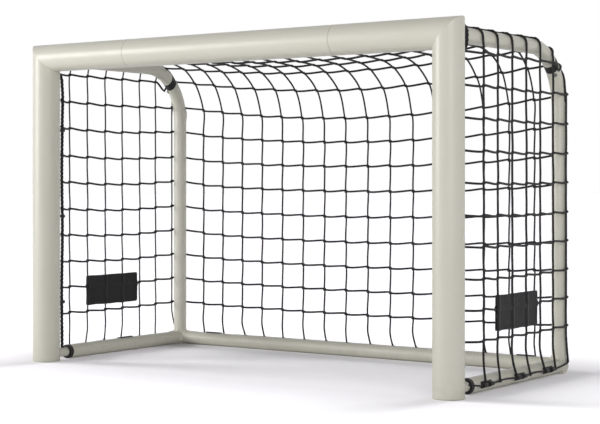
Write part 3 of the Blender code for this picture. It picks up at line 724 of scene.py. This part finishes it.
def side_knot(side, i, k):
    """Where a column and a row of a side net cross."""
    y = SIDE_COLUMNS[side][i]
    share = (y - ROPE_Y) / (CORNER_CORD[side] - ROPE_Y)
    z = SIDE_ROWS[side][k] - SIDE_SAG[side][k] * sin(pi * share)
    place = beside(side, y, z)
    return place + wander(place, 0.001)


def corner_place(side, k):
    """Where a row of a side net meets the cord at the rear upright."""
    return beside(side, CORNER_CORD[side], SIDE_ROWS[side][k])


def strip_axis(side, row):
    """The axis of the side frame where a cross cord of the strip lies, and the way out of it."""
    if row < len(ROOF_CORNERS):
        return Vector((0, ROOF_CORNERS[row], CROSSBAR_Z)), UP
    if row < len(ROOF_MIDDLE):
        return bend_axis(BEND_CORNERS[row - len(ROOF_CORNERS)])
    return Vector((0, DEPTH, SIDE_ROWS[side][row - len(ROOF_CORNERS) - 1])), BACK


def strip_corner(side, row):
    """Where a cross cord of the strip lies on the tube of a side frame."""
    axis, out = strip_axis(side, row)
    return axis + WRAP_OFFSET * out


def strip_knot(row, x):
    """Where a cross cord of the strip meets a lengthwise cord; row counts from the crossbar."""
    across = max(-1.0, min(1.0, x / POST_X))
    left, right = strip_corner(-1, row), strip_corner(1, row)
    edge = left.lerp(right, (across + 1) / 2)
    centre = left.lerp(right, 0.5)
    y, z = (ROOF_MIDDLE + BACK_MIDDLE)[row]
    sag = (1 - across * across) ** SAG_POWERS[row]
    place = edge + sag * (Vector((0, y, z)) - centre)
    place = at(x, place.y, place.z)
    return place + wander(place, 0.001 * min(1.0, 3 * sag))


def border_place(side, reached):
    """The lower edge cord beside a side bar, or behind the rear bar where side is nought."""
    past_clip = min(abs(reached - clip) for clip in BORDER_CLIPS[side]) - CLIP_HALF
    share = max(0.0, min(1.0, past_clip / BORDER_RAMP))
    angle = BORDER_RISE[side] * share * share * (3 - 2 * share)
    reach = BORDER_OFFSET - (BORDER_OFFSET - WRAP_OFFSET) * sin(angle)
    out = reach * cos(angle)
    z = TUBE_Z + reach * sin(angle)
    if side:
        return at(side * (POST_X + out), reached, z)
    return at(reached, DEPTH + out, z)


def row_start(side, k):
    """Where a row of a side net is tied to the rope."""
    if k == 0:
        return at(side * (POST_X + 0.0085), 0.0555, SIDE_ROWS[side][k])
    return at(side * (POST_X + 0.001), ROPE_Y, SIDE_ROWS[side][k])


def side_column(side, i):
    """Points of an upright cord of a side net, from the lower edge over the top bar."""
    bend = beside(side, SIDE_COLUMNS[side][i], FOOT_BEND_Z)
    stops = loose([border_place(side, SIDE_FEET[side][i]), bend])
    stops += [(side_knot(side, i, k), True) for k in reversed(range(len(SIDE_ROWS[side])))]
    stops += loose(wrap(side, *strip_axis(side, i))[:-1] + [strip_knot(i, EDGE_COLUMN[side])])
    return cord_points(stops, Vector((0, COLUMN_JOG, 0)))


def side_row(side, k):
    """Points of a level cord of a side net, from the rope back to the rear upright."""
    stops = loose([row_start(side, k)])
    stops += [(side_knot(side, i, k), True) for i in range(len(SIDE_COLUMNS[side]))]
    if k:
        stops.append((corner_place(side, k), True))
    elif side < 0:
        stops += loose([beside(side, 0.5315, 0.7735)])
    row = len(ROOF_CORNERS) + 1 + k
    turn = LACE_TURN if k else -20
    wrapped = wrap(side, *strip_axis(side, row), turn)[:-1]
    stops += loose(wrapped + [strip_knot(row, EDGE_COLUMN[side])])
    return cord_points(stops, Vector((0, 0, ROW_JOG)))


def side_net(side, knot):
    """The net on one side, with the ends of its cords laid over the side frame."""
    bm = start_cords()
    outward = side * RIGHT
    slant = Vector((0, 1, 0.3))
    rows = range(len(SIDE_ROWS[side]))

    for i, foot in enumerate(SIDE_FEET[side]):
        add_tube(bm, side_column(side, i), COLUMN_CORD[side] / 2)
        add_knot(bm, knot, border_place(side, foot), outward, BACK, SIDE_FOOT_KNOT)
        for k in rows:
            add_knot(bm, knot, side_knot(side, i, k), outward, slant)
    for k in rows:
        add_tube(bm, side_row(side, k), ROW_CORD / 2)
        add_knot(bm, knot, row_start(side, k), outward, BACK, END_KNOT)
        if k:
            add_knot(bm, knot, corner_place(side, k), outward, slant)

    lace = [corner_border(side, 15), beside(side, CORNER_CORD[side], 0.1)]
    lace += [corner_place(side, k) for k in reversed(rows[1:])]
    lift = CORNER_CORD[side] - DEPTH - WRAP_OFFSET * sin(radians(LACE_TURN))
    first, last, steps = radians(84), BEND_CORNERS[1], 7
    for n in range(steps + 1):
        share = n / steps
        axis, out = bend_axis(first + (last - first) * share)
        rise = radians(LACE_TURN + (90 - LACE_TURN) * max(0.0, 2 * share - 1))
        reach = WRAP_OFFSET * (cos(rise) * outward + sin(rise) * out)
        drift = out * lift * max(0.0, 1 - 1.4 * share)
        lace.append(at(side * POST_X, axis.y, axis.z) + reach + drift)
    add_tube(bm, cord_points(loose(lace)), COLUMN_CORD[side] / 2)
    return bm


def strip_net(knot):
    """The strip of net over the top and down the back."""
    bm = start_cords()
    for x, lean in zip(STRIP_COLUMNS, STRIP_FEET):
        if abs(x) < POST_X - 0.02:
            foot, offset = border_place(0, x + lean), TUBE_RADIUS
        else:
            foot, offset = corner_border(1 if x > 0 else -1, 80), WRAP_OFFSET
        stops = loose([at(x, *FRONT_ROW)])
        stops += [(strip_knot(row, x), True) for row in range(STRIP_ROWS)]
        stops += loose([at(x, DEPTH + offset, FOOT_BEND_Z), foot])
        add_tube(bm, cord_points(stops, Vector((COLUMN_JOG, 0, 0))), COLUMN_CORD[0] / 2)
        add_knot(bm, knot, stops[0][0], Vector((0, -0.5, 1)), RIGHT, END_KNOT)
        add_knot(bm, knot, foot, BACK, RIGHT, REAR_FOOT_KNOT)
        for n in range(1, len(stops) - 2):
            along = stops[n + 1][0] - stops[n - 1][0]
            slant = RIGHT + 0.3 * along.normalized()
            add_knot(bm, knot, stops[n][0], along.cross(-RIGHT), slant)
    for row in range(STRIP_ROWS):
        stops = [(strip_knot(row, x), True) for x in STRIP_COLUMNS]
        add_tube(bm, cord_points(stops, Vector((0, 0, -ROW_JOG))), ROW_CORD / 2)
    return bm


def corner_border(side, turn):
    """The lower edge cord where it goes round a rear corner, turn degrees on from the side."""
    low = CORNER_LOW[side]
    z = low + (CORNER_HIGH - low) * min(1.0, turn / 90)
    reach = BORDER_OFFSET - 0.0006
    turn = radians(turn)
    return at(side * (POST_X + reach * cos(turn)), DEPTH + reach * sin(turn), z)


def bottom_border():
    """The cord along the lower edge of the net."""
    runs = {}
    for side in SIDES:
        run = [at(side * (POST_X + x), y, z) for x, y, z in BORDER_START]
        run += [border_place(side, 0.12 + 0.01 * n) for n in range(43)]
        runs[side] = run + [corner_border(side, 15 * n) for n in range(7)]
    rear = [border_place(0, 0.6 - 0.0125 * n) for n in range(97)]
    stops = loose(runs[1] + rear + runs[-1][::-1])
    bm = start_cords()
    add_tube(bm, cord_points(stops, slack=0.0004), BORDER_CORD / 2)
    return bm


def rope_side(side):
    """Places on the rope behind a post and round the top bar, from the foot up."""
    lean = {-1: 0.0002, 1: -0.0032}[side]
    upright = [at(side * (POST_X + lean + sway), 0.062, z) for sway, z in ROPE_SWAYS]
    return upright + [at(side * (POST_X + x), y, z) for x, y, z in ROPE_TURN]


def rope_route():
    """The middle line of the rope, from the right foot over to the left one."""
    along = [at(0.1 * n, 0.0545 + 0.0008 * cos(6 * n), 0.8617) for n in range(5, -6, -1)]
    return rope_side(1) + along + rope_side(-1)[::-1]


def rounded_route(places, step):
    """Evenly spaced points on a smooth curve through the places."""
    curve = bpy.data.curves.new("route", 'CURVE')
    curve.dimensions = '3D'
    curve.resolution_u = 24
    spline = curve.splines.new('BEZIER')
    spline.bezier_points.add(len(places) - 1)
    for handle, place in zip(spline.bezier_points, places):
        handle.co = place
        handle.handle_left_type = handle.handle_right_type = 'AUTO'
    guide = new_object("route", curve)
    bpy.context.view_layer.update()
    mesh = guide.evaluated_get(bpy.context.evaluated_depsgraph_get()).to_mesh()
    dense = [vertex.co.copy() for vertex in mesh.vertices]
    bpy.data.objects.remove(guide)
    points = [dense[0]]
    left = step
    for near, far in zip(dense, dense[1:]):
        length = (far - near).length
        while length >= left:
            near = near.lerp(far, left / length)
            length -= left
            left = step
            points.append(near.copy())
        left -= length
    points.append(dense[-1])
    return points


def mouth_rope():
    """The three-strand rope that edges the net behind the posts and the crossbar."""
    centre = rounded_route(rope_route(), ROPE_STEP)
    normal = RIGHT
    frames = []
    for i, point in enumerate(centre):
        ahead = (centre[min(i + 1, len(centre) - 1)] - centre[max(i - 1, 0)]).normalized()
        normal = (normal - normal.dot(ahead) * ahead).normalized()
        frames.append((point, normal.copy(), ahead.cross(normal)))
    bm = start_cords()
    for strand in range(3):
        points = []
        for i, (point, side, across) in enumerate(frames):
            turn = 2 * pi * (strand / 3 + i * ROPE_STEP / ROPE_PITCH)
            points.append(point + ROPE_STRAND * 1.12 * (cos(turn) * side + sin(turn) * across))
        add_tube(bm, points, ROPE_STRAND)
    return bm


def make_net(materials):
    """All cords of the net."""
    knot = make_knot()
    cord = materials["black_cord"]
    for side, name in SIDES.items():
        finish_piece("side_net_" + name, side_net(side, knot), cord, "black_cord", "net_" + name)
    finish_piece("top_and_back_net", strip_net(knot), cord, "black_cord", "net_roof", "net_bend",
                 "net_back")
    finish_piece("bottom_border_cord", bottom_border(), cord, "black_cord")
    finish_piece("mouth_rope", mouth_rope(), cord, "black_cord")


# Patches

def make_stitch():
    """One stitch, along X at the origin, that dips into the cloth at both ends."""
    bm = start_cords()
    profile = ((-1, -0.0005), (-0.8, 0.0002), (0, 0.0004), (0.8, 0.0002), (1, -0.0005))
    add_tube(bm, [Vector((STITCH / 2 * x, 0, z)) for x, z in profile], 0.0004, 5)
    return end_mesh("stitch", bm)


def patch_cords(side):
    """Stretches of cord under the patch of one side, as two ends and a radius."""
    cords = [(side_column(side, i), COLUMN_CORD[side] / 2) for i in range(len(SIDE_COLUMNS[side]))]
    cords += [(side_row(side, k), ROW_CORD / 2) for k in PATCH_ROWS]
    stretches = []
    for points, radius in cords:
        flat = [Vector((point.y - POST_Y, point.z)) for point in points]
        for near, far in zip(flat, flat[1:]):
            if abs(near.x - PATCH_Y) < PATCH_LENGTH and abs(near.y - PATCH_Z) < PATCH_HEIGHT:
                stretches.append((near, far, radius))
    return stretches


def patch_knots(side):
    """The knots under the patch of one side."""
    columns = range(len(SIDE_COLUMNS[side]))
    places = [side_knot(side, i, k) for i in columns for k in PATCH_ROWS]
    return [Vector((place.y - POST_Y, place.z)) for place in places]


def ridge(top, gap, flat, spread):
    """How far cloth stands off beside a ridge: level on its flat part, then falling away."""
    return top * exp(-(max(0.0, gap - flat) / spread) ** 2)


def patch_rise(spot, stretches, knots):
    """How far a leaf stands off the middle of the net: it is tight over cords and knots."""
    rise = 0.0011
    for near, far, radius in stretches:
        span = far - near
        share = max(0.0, min(1.0, (spot - near).dot(span) / span.dot(span)))
        gap = (spot - near - share * span).length
        rise = max(rise, ridge(radius + 0.0008, gap, radius * 0.6, 0.0055))
    for knot in knots:
        rise = max(rise, ridge(0.005, (spot - knot).length, 0.002, 0.0065))
    return rise


def patch_spot(u, v):
    """A place on a patch with rounded corners, by its shares of the way to the edges."""
    y, z = abs(u) * PATCH_LENGTH / 2, abs(v) * PATCH_HEIGHT / 2
    far_y = max(0.0, y - PATCH_LENGTH / 2 + PATCH_CORNER)
    far_z = max(0.0, z - PATCH_HEIGHT / 2 + PATCH_CORNER)
    shrink = 1.0
    if far_y and far_z:
        shrink = max(far_y, far_z) / Vector((far_y, far_z)).length
    y = (y - far_y + far_y * shrink) * (1 if u > 0 else -1)
    z = (z - far_z + far_z * shrink) * (1 if v > 0 else -1)
    wave = wander(Vector((PATCH_Y + y, PATCH_Z + z, 0.4)), 0.0016)
    return Vector((PATCH_Y + y + wave.x * abs(u), PATCH_Z + z + wave.y * abs(v)))


def patch_place(side, face, spot, stretches, knots, lift=0.0):
    """A place on the cloth of a leaf; face is 1 outside the net and -1 inside it."""
    rise = patch_rise(spot, stretches, knots) + lift
    rise += 0.0006 * noise.noise(Vector((spot.x * 34, spot.y * 34, side + 0.3 * face)))
    return at(side * (POST_X + SIDE_OFFSET) + side * face * rise, spot.x, spot.y)


def patch_leaf(side, face, stretches, knots):
    """One leaf of cloth, with a hem that is a little thicker than the rest."""
    deselect()
    bpy.ops.mesh.primitive_grid_add(x_subdivisions=72, y_subdivisions=30, size=2)
    leaf = bpy.context.object
    for vertex in leaf.data.vertices:
        u, v = vertex.co.x, vertex.co.y
        inset = min((1 - abs(u)) * PATCH_LENGTH / 2, (1 - abs(v)) * PATCH_HEIGHT / 2)
        hem = HEM_RISE * max(0.0, min(1.0, (HEM + 0.001 - inset) / 0.002))
        vertex.co = patch_place(side, face, patch_spot(u, v), stretches, knots, hem)
    edit_all()
    if leaf.data.polygons[0].normal.x * side * face <= 0:
        bpy.ops.mesh.flip_normals()
    end_edit()
    shell = leaf.modifiers.new("cloth", 'SOLIDIFY')
    shell.thickness = CLOTH
    shell.offset = 1.0
    bpy.ops.object.modifier_apply(modifier=shell.name)
    bpy.ops.object.shade_smooth_by_angle(angle=radians(50))
    return leaf


def patch_stitching(side, face, stitch, stretches, knots):
    """A running stitch round a leaf, a little inside its edge."""
    half_y, half_z = PATCH_LENGTH / 2, PATCH_HEIGHT / 2
    corners = [Vector((y * (half_y - STITCH_INSET), z * (half_z - STITCH_INSET)))
               for y, z in ((1, 1), (-1, 1), (-1, -1), (1, -1))]
    bm = start_cords()
    for near, far in zip(corners, corners[1:] + corners[:1]):
        count = round((far - near).length / STITCH_STEP)
        for n in range(count):
            ends = []
            for share in ((n + 0.15) / count, (n + 0.85) / count):
                spot = near.lerp(far, share)
                spot = patch_spot(spot.x / half_y, spot.y / half_z)
                ends.append(patch_place(side, face, spot, stretches, knots, HEM_RISE + CLOTH))
            along = (ends[1] - ends[0]).normalized()
            out = side * face * RIGHT
            out = (out - out.dot(along) * along).normalized()
            add_copy(bm, stitch, facing((ends[0] + ends[1]) / 2, along, out))
    return bm


def make_patches(materials):
    """The bare patches: two leaves of cloth on each side net, sewn together."""
    stitch = make_stitch()
    for side, name in SIDES.items():
        under = patch_cords(side), patch_knots(side)
        for face, leaf_name in ((1, "outer"), (-1, "inner")):
            leaf = patch_leaf(side, face, *under)
            leaf.name = f"patch_{leaf_name}_{name}"
            leaf.data.materials.append(materials["black_fabric"])
            enter_piece(leaf, "black_fabric", f"label_{leaf_name}_{name}")
            bm = patch_stitching(side, face, stitch, *under)
            sewn = finish_piece(
                f"stitching_{leaf_name}_{name}", bm, materials["black_cord"], "black_fabric")


# Clips and hooks

def add_plane(size, place, turn):
    """A flat face to start a shape from, turned about X and moved, in edit mode."""
    deselect()
    bpy.ops.mesh.primitive_plane_add(size=1)
    plane = bpy.context.object
    plane.scale = (*size, 1)
    plane.rotation_euler = (turn, 0, 0)
    plane.location = place
    bpy.ops.object.transform_apply()
    edit_all()
    return plane


def round_edges(shape, width):
    """Bevel the sharp edges of a moulded shape and smooth it."""
    select_only(shape)
    edit_all()
    bpy.ops.mesh.normals_make_consistent(inside=False)
    end_edit()
    bevel = shape.modifiers.new("edges", 'BEVEL')
    bevel.width = width
    bevel.segments = 2
    bevel.limit_method = 'ANGLE'
    bpy.ops.object.modifier_apply(modifier=bevel.name)
    bpy.ops.object.shade_smooth_by_angle(angle=radians(35))


def joined(shapes):
    """The mesh of several shapes together; the shapes are used up."""
    select_only(shapes[0])
    for shape in shapes:
        shape.select_set(True)
    bpy.ops.object.join()
    mesh = shapes[0].data.copy()
    bpy.data.objects.remove(shapes[0])
    return mesh


def clip_mesh(upper_end):
    """A clip along X on a bar, open towards +Y: a saddle and two knuckles for the edge cord."""
    middle = TUBE_RADIUS + FIT + CLIP_WALL / 2
    start = (0, middle * cos(CLIP_LOWER_END), middle * sin(CLIP_LOWER_END))
    saddle = add_plane((CLIP_WIDTH, CLIP_WALL), start, CLIP_LOWER_END)
    bpy.ops.mesh.spin(steps=round((upper_end - CLIP_LOWER_END) / radians(7)),
                      angle=CLIP_LOWER_END - upper_end, center=(0, 0, 0), axis=(1, 0, 0))
    end_edit()
    round_edges(saddle, 0.0007)
    shapes = [saddle]
    for way in (-1, 1):
        place = (way * (CLIP_WIDTH / 2 - KNUCKLE / 2), BORDER_OFFSET + 0.0002, 0)
        deselect()
        bpy.ops.mesh.primitive_cylinder_add(
            vertices=24, radius=KNUCKLE_RADIUS, depth=KNUCKLE, location=place,
            rotation=(0, radians(90), 0))
        bpy.ops.object.transform_apply()
        shapes.append(bpy.context.object)
        round_edges(shapes[-1], 0.0012)
    return joined(shapes)


def hook_mesh(reach):
    """A hook that reaches from a 75 mm tube along +Y and goes round a rope along Z."""
    angle = HOOK_BASE / POST_RADIUS
    middle = POST_RADIUS + FIT + HOOK_WALL / 2
    plate = add_plane((HOOK_WALL, HOOK_TALL), (middle, 0, 0), radians(90))
    bpy.ops.mesh.spin(steps=6, angle=-angle, center=(0, 0, 0), axis=(0, 0, 1))
    end_edit()
    plate.rotation_euler = (0, 0, radians(90) - angle / 2)
    bpy.ops.object.transform_apply()
    round_edges(plate, HOOK_EDGE)

    ring = ROPE_REACH + 0.0004 + HOOK_WALL / 2
    arm = add_plane((HOOK_WALL, HOOK_WIDE), (-ring, middle, 0), radians(90))
    bpy.ops.mesh.extrude_region_move(TRANSFORM_OT_translate={"value": (0, reach - middle, 0)})
    bpy.ops.mesh.spin(steps=12, angle=radians(180), center=(0, reach, 0), axis=(0, 0, 1))
    bpy.ops.mesh.extrude_region_move(TRANSFORM_OT_translate={"value": (0.0004, -0.0032, 0)})
    bpy.ops.transform.resize(value=(0.8, 1, 0.8))
    end_edit()
    round_edges(arm, HOOK_EDGE)

    deselect()
    bpy.ops.mesh.primitive_uv_sphere_add(segments=18, ring_count=8, radius=0.003)
    rivet = bpy.context.object
    rivet.scale = (1, 0.5, 1)
    rivet.location = (0.0035, middle + HOOK_WALL / 2, 0)
    bpy.ops.object.transform_apply()
    bpy.ops.object.shade_smooth()
    return joined([plate, arm, rivet])


def place_copy(node, mesh, place, out, up, plastic):
    """A copy of a shape that stands for a node; out and up are where its Y and Z go."""
    own = mesh.copy()
    turned = Matrix((out.cross(up), out, up)).transposed().to_4x4()
    own.transform(Matrix.Translation(place) @ turned)
    own.materials.clear()
    own.materials.append(plastic)
    enter_piece(new_object(node.removeprefix("net_"), own), "black_plastic", node)


def make_clips(plastic):
    """The clips that hold the lower edge of the net on the bars."""
    short, long = clip_mesh(radians(24)), clip_mesh(radians(104))
    for side, name in SIDES.items():
        for number, y in enumerate(BORDER_CLIPS[side], 1):
            mesh = long if (side, number) == (-1, 2) else short
            place_copy(f"net_clip_{name}_{number}", mesh, at(side * POST_X, y, TUBE_Z),
                       side * RIGHT, UP, plastic)
    for number, x in enumerate(BORDER_CLIPS[0], 1):
        place_copy(f"net_clip_rear_{number}", long, at(x, DEPTH, TUBE_Z), BACK, UP, plastic)


def make_hooks(plastic):
    """The hooks that hold the rope behind the posts and the crossbar."""
    for side, name in SIDES.items():
        mesh = hook_mesh(POST_HOOK_REACH)
        out = Vector((POST_HOOK_LEAN[side], 1, 0)).normalized()
        for number, z in enumerate(POST_HOOKS, 1):
            place_copy(f"net_hook_{name}_{number}", mesh, at(side * POST_X, 0, z), out,
                       side * UP, plastic)
    mesh = hook_mesh(CROSSBAR_HOOK_REACH)
    out = Vector((0, 0.0545, 0.0242)).normalized()
    for number, x in enumerate(CROSSBAR_HOOKS, 1):
        place_copy(f"net_hook_crossbar_{number}", mesh, at(x, 0, CROSSBAR_Z), out, RIGHT, plastic)


# Studio

def seen_rays(tree):
    """One where the camera, a gloss or a clear surface looks, nought for light that spreads."""
    rays = add_node(tree, "ShaderNodeLightPath").outputs
    seen = maths(tree, 'MAXIMUM', rays["Is Camera Ray"], rays["Is Glossy Ray"])
    return maths(tree, 'MAXIMUM', seen, rays["Is Transmission Ray"])


def vector_maths(tree, operation, *values):
    """What comes out of a Vector Math node."""
    return add_node(tree, "ShaderNodeVectorMath", enumerate(values), operation=operation).outputs


def make_floor():
    """A pale floor that keeps the goal's soft shadow, and glows more away from the goal as painted
    light.
    """
    bpy.ops.mesh.primitive_plane_add(size=160.0)
    floor = bpy.context.object
    floor.name = "studio_floor"
    material, tree, away = start_material(
        "studio_floor", Roughness=0.9, Specular_IOR_Level=0.0, Emission_Color=(1, 1, 1, 1))
    inputs = tree.nodes["Principled BSDF"].inputs
    seen = seen_rays(tree)
    colour = mix_colour(tree, seen, (0.5, 0.5, 0.5, 1), (0.9, 0.885, 0.915, 1))
    tree.links.new(colour, inputs["Base Color"])
    # Painted light: where the camera sees it, the floor glows from nought at the goal's footprint to
    # full 0.4 m outside it, which fades the cast shadows away from the goal
    away = vector_maths(tree, 'ABSOLUTE', away)[0]
    away = vector_maths(tree, 'SUBTRACT', away, FOOTPRINT)[0]
    away = vector_maths(tree, 'MAXIMUM', away, (0, 0, 0))[0]
    away = vector_maths(tree, 'LENGTH', away)["Value"]
    painted_glow = maths(tree, 'MULTIPLY', ramp(tree, away, 0.0, 0.4), 0.32)
    tree.links.new(maths(tree, 'MULTIPLY', seen, painted_glow), inputs["Emission Strength"])
    floor.data.materials.append(material)
    return floor


def make_world():
    """Plain surroundings: white in the picture; for the goal, bright low down and dark above."""
    world = bpy.data.worlds.new("studio")
    bpy.context.scene.world = world
    world.use_nodes = True
    tree = world.node_tree
    inputs = tree.nodes["Background"].inputs
    inputs["Color"].default_value = (1, 1, 1, 1)
    way = add_node(tree, "ShaderNodeTexCoord").outputs["Generated"]
    height = split_place(tree, way)["Z"]
    low = maths(tree, 'SUBTRACT', 1.0, maths(tree, 'ABSOLUTE', height))
    soft = maths(tree, 'MULTIPLY', maths(tree, 'POWER', low, 2.4), 1.35)
    strength = add_node(tree, "ShaderNodeMix", {0: seen_rays(tree), 2: soft, 3: 1.0})
    tree.links.new(strength.outputs[0], inputs["Strength"])


def add_lamp(name, location, aim, size, power):
    """A soft square lamp."""
    data = bpy.data.lights.new(name, 'AREA')
    data.shape = 'SQUARE'
    data.size = size
    data.energy = power
    lamp = new_object(name, data)
    lamp.location = location
    lamp.rotation_euler = (Vector(aim) - Vector(location)).to_track_quat('-Z', 'Y').to_euler()


def add_floor_lamp(lit, azimuth, elevation, spread, strength):
    """A low, far lamp for the floor alone, which gives the bars their wide soft shadows."""
    data = bpy.data.lights.new("floor_lamp", 'SUN')
    data.angle = radians(spread)
    data.energy = strength
    lamp = new_object("floor_lamp", data)
    lamp.rotation_euler = (radians(90 - elevation), 0, radians(azimuth))
    lamp.light_linking.receiver_collection = lit


def make_studio():
    """The floor, the surroundings and the lamps."""
    lit = bpy.data.collections.new("lit_floor")
    lit.objects.link(make_floor())
    make_world()
    add_lamp("key_lamp", (-2.9, -3.0, 1.25), (0, 0, 0.5), 1.6, 82)
    add_lamp("fill_lamp", (2.9, -2.3, 1.1), (0, 0, 0.4), 1.6, 30)
    add_floor_lamp(lit, -75, 16, 22, 3.7)
    add_floor_lamp(lit, 170, 14, 30, 3.9)


deselect()
aim_camera()
finishes = make_materials()
dress_cad_nodes(finishes)
smooth_frame()
make_net(finishes)
make_patches(finishes)
make_clips(finishes["black_plastic"])
make_hooks(finishes["black_plastic"])
make_studio()
bpy.context.scene.view_settings.view_transform = 'Standard'
